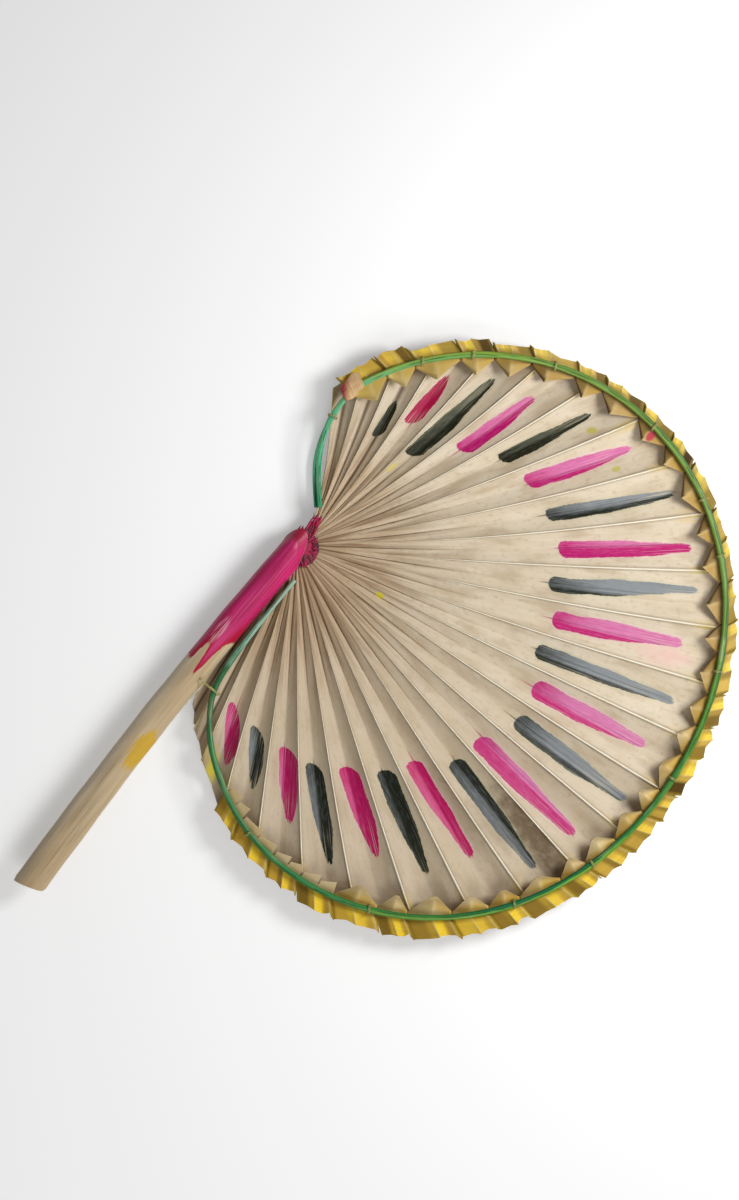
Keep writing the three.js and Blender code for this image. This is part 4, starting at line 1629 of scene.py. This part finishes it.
        facet = min(facet, len(self.facet_dye) - 1)
        crest = abs(step - len(self.before_peak)) <= 1
        trough = step in (0, 1, last - 1, last)
        # Painted shade outside the hoop: troughs dark, some facets darker.
        dark = 1.0 if trough else self.facet_dark[facet] * (1 + jitter[3][facet])
        # Painted highlights on the tents' inner rims and crests and on the outer folds' edges, carried by
        # the crease mark.
        lit_crest = self.lit_crest * float(crest and not boxed)
        lit = np.maximum(tent * (radial < inner + self.lit_rim), lit_crest)
        # Painted shadow line along the tents' inner edges, and painted shade where they pass under the
        # hoop.
        rows = np.clip((radial - inner) / (-self.hoop_half - inner), 0.0, 1.0)
        steep = float(1 < step <= len(self.before_peak) and not boxed)
        rim = self.by_region(self.dark_rims, angle) * steep * (1 - smoothstep(rows, *self.rim_span))
        foot = self.by_region(self.dark_feet, angle) * smoothstep(rows, *self.foot_span)
        gathered = np.maximum(np.maximum(rim, foot), self.facet_shade(angle, step, boxed, tone))
        return place, {
            "arc": math.radians(-angle) * self.rim.radius,
            "radial": radial,
            "tone": tone,
            "dye": np.clip(self.facet_dye[facet] + self.dye_jitter * jitter[2][facet], 0.0, 1.0),
            "crease": np.where(radial < 0, lit, float(step in self.fold_columns[1::2])),
            "shade": np.where(radial < 0, gathered, dark),
            "rich": self.by_region(self.richness, angle),
            "bare": float(boxed),
            "gilt": self.by_region(self.gilding, angle)}

    def by_region(self, values: Row, angle: float) -> float:
        """Value of a tuple given by region of the rim, in one direction."""
        return float(np.interp(angle, self.regions, values))

    def notch(self, trough: int) -> float:
        """Share of the reach that is torn away at a trough."""
        torn = trough == 0 or chance(Draw.NOTCH + trough).uniform() > self.whole_odds
        return self.torn_share if torn else 0.0

    def facet_shade(self, angle: float, step: int, boxed: bool, tone: float) -> float:
        """Painted shade on a tent's steep side and in the troughs.

        Args:
            angle: Direction from the middle of the blade.
            step: Number of the line within the pleat.
            boxed: True for a flat pleat.
            tone: The pleat's own share of painted shade, from 0 to 1.

        Returns:
            The darkness, from 0 to 1.
        """
        crest = len(self.before_peak)
        if step in (0, crest + len(self.after_peak)):
            return self.trough_dark
        if boxed:
            return self.boxed_dark[0] if step in (1, crest) else self.boxed_dark[1]
        before = self.by_region(self.shade_before, angle) * lerp(*self.shade_range, tone)
        before = min(self.trough_dark, before)
        after = self.by_region(self.shade_after, angle)
        if step == crest:
            return min(before, after)
        share = (crest - step) / crest if step < crest else (step - crest) / len(self.after_peak)
        return (before if step < crest else after) * lerp(self.top_dark, 1.0, share)

    def flap(self) -> Piece:
        """Folds the flap that begins the frill over the front hoop.

        Returns:
            The finished piece.
        """
        columns, rows = self.flap_mesh
        piece, column, row = Workshop.sheet("frill_flap", columns, rows)
        crown = self.levels.front_hoop + self.flap_clear + self.thickness
        half_turn = math.degrees(self.flap_length / 2 / self.rim.radius)
        turn = lerp(self.flap_angle + half_turn, self.flap_angle - half_turn, column / (columns - 1))
        radial = lerp(-self.flap_inner, self.flap_outer, row / (rows - 1))
        middle = 2 * column / (columns - 1) - 1
        inner, outer = (radial * (1 - cut * np.abs(middle - tip)) for cut, tip in self.flap_lobes)
        radial = np.where(radial < 0, inner, outer)
        away = np.abs(radial)
        drop = (away / np.where(radial < 0, self.flap_inner, self.flap_outer)) ** self.flap_power
        ripple = waves(self.flap_ripples, middle, radial) * (away > self.flap_flat)
        height = crown - self.flap_drop * drop + ripple
        Workshop.place(piece, np.column_stack([self.rim.point(turn, radial), height]))
        Workshop.mark(piece, arc=np.radians(-turn) * self.rim.radius, radial=radial, side=middle)
        Workshop.thicken(piece, self.thickness)
        Workshop.close(piece, self.flap_smooth)
        return piece

    def build(self) -> None:
        """Builds and dresses the strips and the flap."""
        material = self.finish.material()
        first = 0
        for number, count in enumerate(self.strip_pleats, start=1):
            piece = self.strip(number, first, count)
            Workshop.hand_over(piece, material, Slot.FRILL, f"frill_strip_{number}")
            first += count
        Workshop.hand_over(self.flap(), self.finish.flap_material(), Slot.FRILL, "frill_start_flap")


class Course:
    """Smooth path through control points, read at even distances."""

    def __init__(self, controls: Array) -> None:
        """Runs a centripetal curve through points.

        Args:
            controls: One row of x, y and z per point.
        """
        ends = [2 * controls[0] - controls[1], 2 * controls[-1] - controls[-2]]
        line = np.vstack([ends[0], controls, ends[1]])
        pieces = [self.between(*line[i : i + 4]) for i in range(len(controls) - 1)]
        self.path = np.vstack([*pieces, controls[-1:]])
        steps = np.linalg.norm(np.diff(self.path, axis=0), axis=1)
        self.runs = np.concatenate([[0.0], np.cumsum(steps)])

    @staticmethod
    def between(before: Array, start: Array, end: Array, after: Array) -> Array:
        """Points of one span, without its last.

        Args:
            before: Control point before the span.
            start: First point of the span.
            end: Last point of the span.
            after: Control point after the span.

        Returns:
            One row of x, y and z per point.
        """
        knots = [0.0]
        for first, second in ((before, start), (start, end), (end, after)):
            knots.append(knots[-1] + np.linalg.norm(second - first) ** 0.5)
        t = np.linspace(knots[1], knots[2], 24, endpoint=False)[:, None]

        def pull(p: Array, q: Array, low: int, high: int) -> Array:
            """Straight run from p to q between two knots."""
            return lerp(p, q, (t - knots[low]) / (knots[high] - knots[low]))

        a1, a2, a3 = pull(before, start, 0, 1), pull(start, end, 1, 2), pull(end, after, 2, 3)
        return pull(pull(a1, a2, 0, 2), pull(a2, a3, 1, 3), 1, 2)

    @property
    def length(self) -> float:
        """Length of the path."""
        return float(self.runs[-1])

    def at(self, distance: Array) -> Array:
        """Points at distances from the start."""
        return np.column_stack([np.interp(distance, self.runs, self.path[:, axis]) for axis in range(3)])

    def ahead(self, distance: Array) -> Array:
        """Unit directions of the path in the fan's plane at distances from the start."""
        step = self.at(distance + 0.4) - self.at(distance - 0.4)
        return step[:, :2] / np.linalg.norm(step[:, :2], axis=1)[:, None]


@dataclass
class Stalk:
    """The leaf's own stalk, shaved to a handle: rounded face, flat back, both ends cut at a slant."""

    levels: Levels
    finish: StalkFinish
    length: float = 224.0
    hub_width: float = 14.4
    butt_width: float = 16.0
    thickness: float = 9.0
    hub: Limits = (8.0, 1.6)
    bow: float = 2.4
    drop: float = 4.0
    hub_skew: float = 0.76
    hub_point: float = 1.32
    butt_skew: float = -0.3
    facet: float = 9.0
    facet_height: float = 0.55
    corner: float = 0.09
    edge_steps: int = 40
    shaves: Waves = ((0.16, 21.0, 3.0, 0.0), (0.12, 47.0, -5.0, 1.0))
    shave_aside: float = 0.6
    shave_foot: float = 0.3
    butt_span: Limits = (0.965, 1.0)
    facet_power: float = 0.8
    end_pull: float = 0.93
    end_middle: float = 0.45
    foot_edge: float = 0.05
    smooth: float = 34.0
    sides: int = 56
    rings: tuple[int, ...] = (99,)
    section: tuple[tuple[float, float], ...] = (
        (-0.9, 0.0), (0.9, 0.0), (1.0, 0.12), (1.0, 0.45), (0.72, 0.82), (0.2, 1.0), (-0.35, 0.97),
        (-0.8, 0.78), (-1.0, 0.42), (-1.0, 0.12))

    def width(self, share: float | Array) -> float | Array:
        """Width at a share of the length."""
        return lerp(self.hub_width, self.butt_width, share)

    def middle(self, share: float | Array) -> float | Array:
        """Middle line's y at a share of the length."""
        return self.hub[1] + self.bow * np.sin(np.pi * share) - self.drop * share

    def edge(self, x: float) -> float:
        """The stalk's edge on the leaf's side."""
        share = (self.hub[0] - x) / self.length
        return float(self.middle(share) - self.width(share) / 2)

    def outline(self, turn: Array) -> Array:
        """Section of the stalk with its corners rubbed off.

        Args:
            turn: Angle about the section's middle, in radians.

        Returns:
            One row of across, from -1 to 1, and height, from 0 to 1, per angle.
        """
        corners = np.array(self.section)
        corners = np.vstack([corners, corners[:1]])
        steps = np.linspace(0, 1, self.edge_steps, endpoint=False)[:, None]
        dense = np.vstack([lerp(start, end, steps) for start, end in zip(corners, corners[1:])])
        span = int(len(dense) * self.corner / 2)
        window = np.ones(2 * span + 1) / (2 * span + 1)
        closed = np.vstack([dense[-span:], dense, dense[:span]])
        rubbed = np.column_stack([np.convolve(line, window, "valid") for line in closed.T])
        around = np.unwrap(np.arctan2((rubbed[:, 1] - 0.5) * 1.2, rubbed[:, 0]))
        looped = np.concatenate([around - 2 * np.pi, around, around + 2 * np.pi])
        turn = np.mod(turn - around[0], 2 * np.pi) + around[0]
        return np.column_stack([np.interp(turn, looped, np.tile(line, 3)) for line in rubbed.T])

    def build(self) -> None:
        """Builds and dresses the stalk."""
        piece, turn, share, surface = Workshop.tube("stalk", self.sides, self.rings)
        section = self.outline(turn)
        across = section[:, 0] * surface
        height = np.where(surface > 0, section[:, 1], 0.5)
        facet = self.facet / self.length
        near_hub = 1 - np.clip(share / facet, 0.0, 1.0)
        shaped = 1 - smoothstep(share, facet, 3 * facet)
        skew = shaped * (self.hub_skew - self.hub_point * across)
        skew = skew + self.butt_skew * smoothstep(share, *self.butt_span)
        height = height * lerp(1.0, self.facet_height, near_hub**self.facet_power)
        half = self.width(share) / 2
        shave = waves(self.shaves, share, across)
        x = self.hub[0] - share * self.length + skew * across * half
        y = self.middle(share) + across * (half + shave * self.shave_aside)
        z = self.levels.stalk + height * (self.thickness + shave * (height > self.shave_foot))
        ends = (share < Workshop.NEAR) | (share > 1 - Workshop.NEAR)
        pull = np.where(ends & (surface > 0), self.end_pull, 1.0)
        y = lerp(self.middle(share), y, pull)
        middle = self.levels.stalk + self.end_middle * self.thickness
        z = lerp(middle, z, np.where(height > self.foot_edge, pull, 1.0))
        Workshop.place(piece, np.column_stack([x, y, z]))
        Workshop.mark(
            piece, across=across * half, along=share * self.length, height=height * self.thickness)
        Workshop.close(piece, self.smooth)
        Workshop.hand_over(piece, self.finish.material(), Slot.STALK, "stalk_handle")


@dataclass
class Knuckle:
    """Hard fibrous knuckle from which the leaf opens, with loose fibres over it."""

    levels: Levels
    finish: KnuckleFinish
    radius: float = 9.8
    height: float = 5.2
    foot: float = 4.8
    fibres: int = 54
    fibre_thickness: float = 0.56
    tuft: int = 24
    body_mesh: tuple[int, int] = (72, 36)
    smooth: float = 60.0
    fibre_mesh: tuple[int, tuple[int, ...]] = (5, (6,))
    furrows: Waves = ((0.03, 23.0, 0.0), (0.02, 41.0, 1.3))
    lumps: Waves = ((0.04, 3.0, 0.6),)
    flat_power: float = 0.8
    slack: float = 0.95
    belly: float = 2.0
    tuft_angles: Limits = (2.0, 20.0)
    loose_angles: Limits = (-150.0, 40.0)
    tuft_starts: Limits = (13.0, 20.5)
    loose_starts: Limits = (9.0, 11.5)
    ends: Limits = (3.0, 7.0)
    bends: Limits = (-22.0, 22.0)
    tops: Limits = (0.2, 1.2)
    thicknesses: Limits = (0.6, 1.3)
    fibre_foot: float = 3.4
    fibre_sink: float = 0.2
    fibre_taper: Limits = (0.12, 0.92)

    def dome(self) -> Piece:
        """Shapes the knuckle's body.

        Returns:
            The body, lumpy and furrowed.
        """
        Workshop.clear()
        segments, rings = self.body_mesh
        bpy.ops.mesh.primitive_uv_sphere_add(segments=segments, ring_count=rings, radius=1.0)
        piece = Workshop.named("knuckle")
        unit = Workshop.corners(piece)
        upper = unit[:, 2] > 0
        turn = np.arctan2(unit[:, 1], unit[:, 0])
        rough = (1 + waves(self.furrows, turn)) * (1 + waves(self.lumps, turn))
        flat = np.hypot(unit[:, 0], unit[:, 1]) ** self.flat_power
        reach = self.radius * flat * np.where(upper, rough, 1.0) * self.slack
        rise = unit[:, 2] * np.where(upper, self.height - self.belly, self.belly) + self.belly
        points = np.column_stack([heading(np.degrees(turn)) * reach[:, None], self.foot + rise])
        Workshop.place(piece, points)
        return piece

    def fibre(self, number: int) -> Piece:
        """Shapes one fibre that runs from the leaf's base over the knuckle to the stalk's end.

        Args:
            number: Number of the fibre.

        Returns:
            The fibre.
        """
        dice = chance(Draw.FIBRE + number)
        piece, turn, share, surface = Workshop.tube(f"fibre_{number}", *self.fibre_mesh)
        tuft = number < self.tuft
        angle = dice.uniform(*(self.tuft_angles if tuft else self.loose_angles))
        start = dice.uniform(*(self.tuft_starts if tuft else self.loose_starts))
        end, bend, top = (dice.uniform(*limits) for limits in (self.ends, self.bends, self.tops))
        away = lerp(start, end, share)
        direction = heading(angle + bend * share)
        side = heading(angle + bend * share + 90.0)
        crown = self.foot + lerp(self.fibre_foot, self.height - self.fibre_sink, share)
        crown = crown + top * np.sin(np.pi * share)
        thick = self.fibre_thickness * dice.uniform(*self.thicknesses)
        thick = thick * np.sin(np.pi * lerp(*self.fibre_taper, share)) * surface
        flat = direction * away[:, None] + side * (thick * np.cos(turn))[:, None]
        Workshop.place(piece, np.column_stack([flat, crown + thick * np.sin(turn)]))
        return piece

    def build(self) -> None:
        """Builds, joins and dresses the knuckle."""
        body = Workshop.join([self.dome(), *(self.fibre(number) for number in range(self.fibres))])
        Workshop.close(body, self.smooth)
        Workshop.hand_over(body, self.finish.material(), Slot.KNUCKLE, "leaf_knuckle")


@dataclass
class Hoops:
    """Two split canes that clamp the leaf's rim, with tails that run in to the hub and the stalk."""

    rim: Rim
    levels: Levels
    stalk: Stalk
    finish: CaneFinish
    width: float = 3.0
    thickness: float = 2.3
    arc_start: float = 62.0
    arc_end: float = -206.0
    arc_steps: int = 30
    top_tail: tuple[tuple[float, float, float], ...] = (
        (22.0, 5.0, 0.0), (32.4, 14.6, 0.0), (40.7, 20.9, 0.16), (50.5, 26.0, 0.5), (60.0, 29.0, 1.0))
    bottom_tail: tuple[tuple[float, float, float], ...] = (
        (-94.25, 12.3, 0.74), (-81.96, 5.4, 0.26), (-66.0, 2.7, 0.0), (-45.0, 1.8, 0.0), (-14.0, 1.4, 0.0))
    back_shift: float = 2.1
    tail_taper: float = 0.7
    tail_run: float = 60.0
    back_side: float = 120.0
    smooth: float = 40.0
    sides: int = 22
    rings: tuple[int, ...] = (99, 5)
    breadths: Waves = ((0.05, 0.11, 0.0), (0.04, 0.29, 1.0))
    heights: Waves = ((0.03, 0.23, 2.0),)
    butt_lead: float = 1.4
    side_power: float = 0.72
    crown_power: float = 0.85
    back_power: float = 0.5
    shoulder: float = 0.25
    core: float = 0.4
    end_height: float = 0.55
    end_run: float = 5.0

    def course(self, back: bool) -> Course:
        """Path of a hoop: in along the top tail, round the rim and out along the bottom tail.

        Args:
            back: True for the hoop behind the leaf.

        Returns:
            The path, at the height of the cane's flat side.
        """
        high = self.levels.back_hoop_top if back else self.levels.front_hoop
        tail = self.levels.back_hoop_top if back else self.levels.frill
        side = heading(self.back_side) * (self.back_shift if back else 0.0)
        controls = [[*(np.array([x, y]) + side * (1 - climb)), lerp(tail, high, climb)]
                    for x, y, climb in self.top_tail]
        for angle in np.linspace(self.arc_start, self.arc_end, self.arc_steps + 1):
            controls.append([*self.rim.point(np.array(angle)), high])
        for x, gap, climb in self.bottom_tail:
            controls.append([x, self.stalk.edge(x) - gap - self.width / 2, lerp(tail, high, climb)])
        return Course(np.array(controls))

    def hoop(self, name: str, back: bool) -> Piece:
        """Bends one cane.

        Args:
            name: Name of the piece.
            back: True for the hoop behind the leaf.

        Returns:
            The finished piece.
        """
        course = self.course(back)
        piece, turn, share, surface = Workshop.tube(name, self.sides, self.rings)
        distance = share * course.length
        left_over = course.length - distance
        centre = course.at(distance)
        ahead = course.ahead(np.clip(distance, 0.5, course.length - 0.5))
        left = np.column_stack([-ahead[:, 1], ahead[:, 0]])
        c, s = np.cos(turn), np.sin(turn)
        thinned = smoothstep(np.minimum(distance, self.butt_lead * left_over), 0.0, self.tail_run)
        breadth = self.width / 2 * (1 + waves(self.breadths, distance))
        breadth = breadth * lerp(self.tail_taper, 1.0, thinned) * surface
        across = breadth * np.sign(c) * np.abs(c) ** self.side_power
        upper = lerp(self.shoulder, 1.0, np.abs(s) ** self.crown_power)
        lower = self.shoulder * (1 - np.abs(s) ** self.back_power)
        height = self.thickness * np.where(s >= 0, upper, lower) * (1 + waves(self.heights, distance))
        height = np.where(surface > 0, height, self.thickness * self.core)
        end = smoothstep(np.minimum(distance, left_over), 0.0, self.end_run)
        height = height * lerp(self.end_height, 1.0, end)
        facing = -1.0 if back else 1.0
        flat = centre[:, :2] + left * across[:, None]
        Workshop.place(piece, np.column_stack([flat, centre[:, 2] + facing * height]))
        Workshop.mark(piece, across=across, along=distance, course=share)
        Workshop.close(piece, self.smooth)
        return piece

    def build(self) -> None:
        """Builds and dresses both hoops."""
        material = self.finish.material()
        Workshop.hand_over(self.hoop("front_cane", False), material, Slot.HOOP, "hoop_front")
        Workshop.hand_over(self.hoop("back_cane", True), material, Slot.HOOP, "hoop_back")


@dataclass(frozen=True)
class Loop:
    """Place and size of one thread loop; its slope is the rise of its top along its span."""

    name: str
    centre: Array
    direction: float
    half_span: float
    high: float
    key: int
    slope: float = 0.0


@dataclass
class Stitching:
    """Thread loops that sew the hoops together through the leaf, and the two ties."""

    rim: Rim
    levels: Levels
    blade: LeafBlade
    hoops: Hoops
    finish: ThreadFinish
    thread: float = 0.9
    seat: float = 0.3
    folds: Row = (
        2.75, 3.75, 5.25, 7.25, 8.75, 9.75, 11.75, 13.75, 15.75, 17.25, 19.75, 22.25)
    tie_x: float = -81.96
    tie_gap: float = 5.4
    tie_inset: float = 2.2
    tie_slack: float = 0.9
    tail_tie_run: float = 47.0
    tie_key: int = 50
    smooth: float = 60.0
    ring_mesh: tuple[int, int] = (72, 8)
    ring_radius: float = 0.2
    lean: float = 0.5
    strand_gap: float = 0.3
    strand_half: float = 0.24
    span_power: float = 0.45
    rise_power: float = 0.3
    nudge: float = 0.02
    turn_run: float = 4.0

    @property
    def half_span(self) -> float:
        """Half of a loop's span across a hoop."""
        return self.hoops.width / 2 + self.seat + self.thread / 2

    def wind(self, loop: Loop) -> Piece:
        """Winds one loop of two strands.

        Args:
            loop: The loop.

        Returns:
            The finished piece.
        """
        Workshop.join([self.strand(loop, side) for side in (-1, 1)])
        piece = Workshop.named(loop.name)
        Workshop.close(piece, self.smooth)
        return piece

    def strand(self, loop: Loop, side: int) -> Piece:
        """Bends one strand of a loop.

        Args:
            loop: The loop.
            side: -1 or 1, the strand's side of the loop.

        Returns:
            The strand.
        """
        Workshop.clear()
        around, across = self.ring_mesh
        bpy.ops.mesh.primitive_torus_add(
            major_segments=around, minor_segments=across, major_radius=1.0, minor_radius=self.ring_radius)
        piece = Workshop.named(f"{loop.name}_{side}")
        ring = Workshop.corners(piece)
        major = np.arctan2(ring[:, 1], ring[:, 0])
        minor = np.arctan2(ring[:, 2], np.hypot(ring[:, 0], ring[:, 1]) - 1.0)
        lean = chance(Draw.LOOP + loop.key).uniform(-self.lean, self.lean)
        low = self.thread / 2
        middle, tall = (loop.high + low) / 2, (loop.high - low) / 2

        def course(turn: Array) -> Array:
            """Place of the strand's middle.

            Args:
                turn: Angles round the loop, in radians.

            Returns:
                One row per angle: across the loop, along the hoop and up.
            """
            c, s = np.cos(turn), np.sin(turn)
            a = loop.half_span * np.sign(c) * np.abs(c) ** self.span_power
            z = middle + tall * np.sign(s) * np.abs(s) ** self.rise_power
            z = z + np.where(s > 0, loop.slope * a, 0.0)
            return np.column_stack([a, self.strand_gap * side + lean * c, z])

        ahead = course(major + self.nudge) - course(major - self.nudge)
        ahead = ahead / np.linalg.norm(ahead, axis=1)[:, None]
        outward = np.cross(ahead, np.tile([0.0, 1.0, 0.0], (len(ahead), 1)))
        outward = outward / np.linalg.norm(outward, axis=1)[:, None]
        round_it = outward * np.cos(minor)[:, None] + np.cross(ahead, outward) * np.sin(minor)[:, None]
        spot = course(major) + round_it * self.strand_half * self.thread
        turned = heading(loop.direction) * spot[:, :1] + heading(loop.direction + 90.0) * spot[:, 1:2]
        Workshop.place(piece, np.column_stack([loop.centre + turned, spot[:, 2]]))
        Workshop.mark(piece, along=major * self.turn_run, turn=minor)
        return piece

    def stitch(self, number: int, fold: float) -> Loop:
        """Loop that holds both hoops where a fold meets the rim.

        Args:
            number: Number of the stitch, from 1.
            fold: Number of the fold.

        Returns:
            The loop.
        """
        centre = self.rim.crossing(self.blade.fold_angle(fold))
        direction = bearing(centre - np.array(self.rim.centre))
        return Loop(
            f"stitch_loop_{number:02d}", centre, direction, self.half_span, self.levels.loop_top, number)

    def handle_tie(self) -> Loop:
        """Loop from the stalk's hole round the hoop's lower tail.

        Returns:
            The loop, which slopes from the stalk down to the cane.
        """
        stalk = self.hoops.stalk
        edge = stalk.edge(self.tie_x)
        start = edge + self.tie_inset
        end = edge - self.tie_gap - self.hoops.width / 2 - self.half_span - self.tie_slack
        top = self.levels.stalk + stalk.thickness + self.seat + self.thread / 2
        bottom = self.levels.frill + self.hoops.thickness + self.seat + self.thread / 2
        return Loop(
            "stalk_tie", np.array([self.tie_x, (start + end) / 2]), 90.0, (start - end) / 2,
            (top + bottom) / 2, self.tie_key, (top - bottom) / (start - end))

    def tail_tie(self) -> Loop:
        """Loop round the hoop's upper tail.

        Returns:
            The loop, square to the cane.
        """
        course = self.hoops.course(False)
        run = np.array([self.tail_tie_run])
        ahead = course.ahead(run)[0]
        direction = bearing(np.array([-ahead[1], ahead[0]]))
        return Loop(
            "tail_loop", course.at(run)[0, :2], direction, self.half_span, self.levels.loop_top,
            self.tie_key + 1)

    def build(self) -> None:
        """Builds and dresses every stitch and tie."""
        material = self.finish.material()
        loops = {f"stitch_{number:02d}": self.stitch(number, fold)
                 for number, fold in enumerate(self.folds, start=1)}
        loops |= {"handle_tie": self.handle_tie(), "tail_tie": self.tail_tie()}
        for title, loop in loops.items():
            Workshop.hand_over(self.wind(loop), material, Slot.THREAD, title)


@dataclass(frozen=True)
class Lamp:
    """A soft square lamp that looks at the fan.

    Its bearing is taken in the picture, from its right and anticlockwise, its height is the angle above the
    table, its distance and side are in metres, and its level is the brightness that it gives a white floor.
    """

    name: str
    bearing: float
    height: float
    distance: float
    side: float
    level: float


@dataclass
class Studio:
    """Camera straight above, white floor, a key light from the right and a broad fill from below."""

    view_middle: Limits = (2.0, -43.4)
    view_height: float = 600.0
    view_turn: float = -50.55
    fan_height: float = 10.0
    camera_distance: float = 1200.0
    sensor: float = 36.0
    lamps: tuple[Lamp, ...] = (
        Lamp("key", 12.0, 43.0, 0.55, 0.2, 0.53),
        Lamp("fill", -85.0, 42.0, 1.5, 0.9, 0.22))
    floor_size: float = 6.0
    floor_level: float = -0.0004
    floor_white: Colour = (0.82, 0.82, 0.82, 1.0)
    floor_roughness: float = 0.9
    floor_glow: float = 0.28
    world_level: float = 0.22
    white: Colour = (1.0, 1.0, 1.0, 1.0)

    def above(self, height: float) -> Vector:
        """Point over the middle of the view at a height above the table."""
        return Vector(np.array([*self.view_middle, height]) * MM + HUB)

    def camera(self) -> None:
        """Sets the camera over the fan."""
        data = bpy.data.cameras.new("camera")
        data.sensor_width = self.sensor
        data.lens = self.sensor * self.camera_distance / self.view_height
        camera = bpy.data.objects.new("camera", data)
        bpy.context.scene.collection.objects.link(camera)
        camera.location = self.above(self.fan_height + self.camera_distance)
        camera.rotation_euler = (0.0, 0.0, math.radians(self.view_turn))
        bpy.context.scene.camera = camera

    def light(self, lamp: Lamp) -> None:
        """Adds a lamp.

        Args:
            lamp: The lamp.
        """
        height = math.radians(lamp.height)
        data = bpy.data.lights.new(lamp.name, "AREA")
        data.size = lamp.side
        data.energy = lamp.level * math.pi * math.pi * lamp.distance**2 / math.sin(height)
        added = bpy.data.objects.new(lamp.name, data)
        bpy.context.scene.collection.objects.link(added)
        flat = heading(lamp.bearing + self.view_turn) * math.cos(height)
        towards = Vector((*flat, math.sin(height)))
        added.location = self.above(self.fan_height) + towards * lamp.distance
        added.rotation_euler = towards.to_track_quat("Z", "Y").to_euler()

    def floor(self) -> None:
        """Lays the white floor."""
        Workshop.clear()
        bpy.ops.mesh.primitive_plane_add(size=self.floor_size, location=(0.0, 0.0, self.floor_level))
        floor = Workshop.named("floor")
        material, bench = new_material("white_floor")
        path = bench.add("ShaderNodeLightPath")
        seen = bench.most(path.outputs["Is Camera Ray"], path.outputs["Is Glossy Ray"])
        light = bench.wire(bench.add("ShaderNodeBsdfPrincipled"), {
            "Base Color": self.floor_white,
            "Roughness": self.floor_roughness,
            "Emission Color": self.white,
            "Emission Strength": seen * self.floor_glow})
        bench.feed(bench.add("ShaderNodeOutputMaterial").inputs["Surface"], light)
        floor.data.materials.append(material)

    def world(self) -> None:
        """Sets the even light of the room."""
        world = bpy.data.worlds.new("room")
        world.use_nodes = True
        bench = Bench(world.node_tree)
        background = world.node_tree.nodes["Background"]
        path = bench.add("ShaderNodeLightPath")
        level = Wire(bench, path.outputs["Is Camera Ray"]).span(0.0, 1.0, self.world_level, 1.0)
        bench.wire(background, {"Color": self.white, "Strength": level})
        bpy.context.scene.world = world

    def build(self) -> None:
        """Sets up the whole studio."""
        bpy.context.scene.view_settings.view_transform = "Standard"
        self.camera()
        for lamp in self.lamps:
            self.light(lamp)
        self.floor()
        self.world()


def main() -> None:
    """Sets up the studio and builds the fan's pieces in order."""
    logging.basicConfig(level=logging.INFO, format="%(name)s %(message)s")
    Studio().build()
    groups = SharedGroups()
    rim, levels = Rim(), Levels()
    blade = LeafBlade(rim, levels, groups, strokes=painted_strokes(), spots=leaf_spots())
    stalk = Stalk(levels, StalkFinish(groups))
    hoops = Hoops(rim, levels, stalk, CaneFinish(groups))
    blade.build()
    Frill(rim, levels, FrillFinish(groups)).build()
    hoops.build()
    Stitching(rim, levels, blade, hoops, ThreadFinish(groups)).build()
    stalk.build()
    Knuckle(levels, KnuckleFinish(groups)).build()
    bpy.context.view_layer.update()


if __name__ == "__main__":
    main()
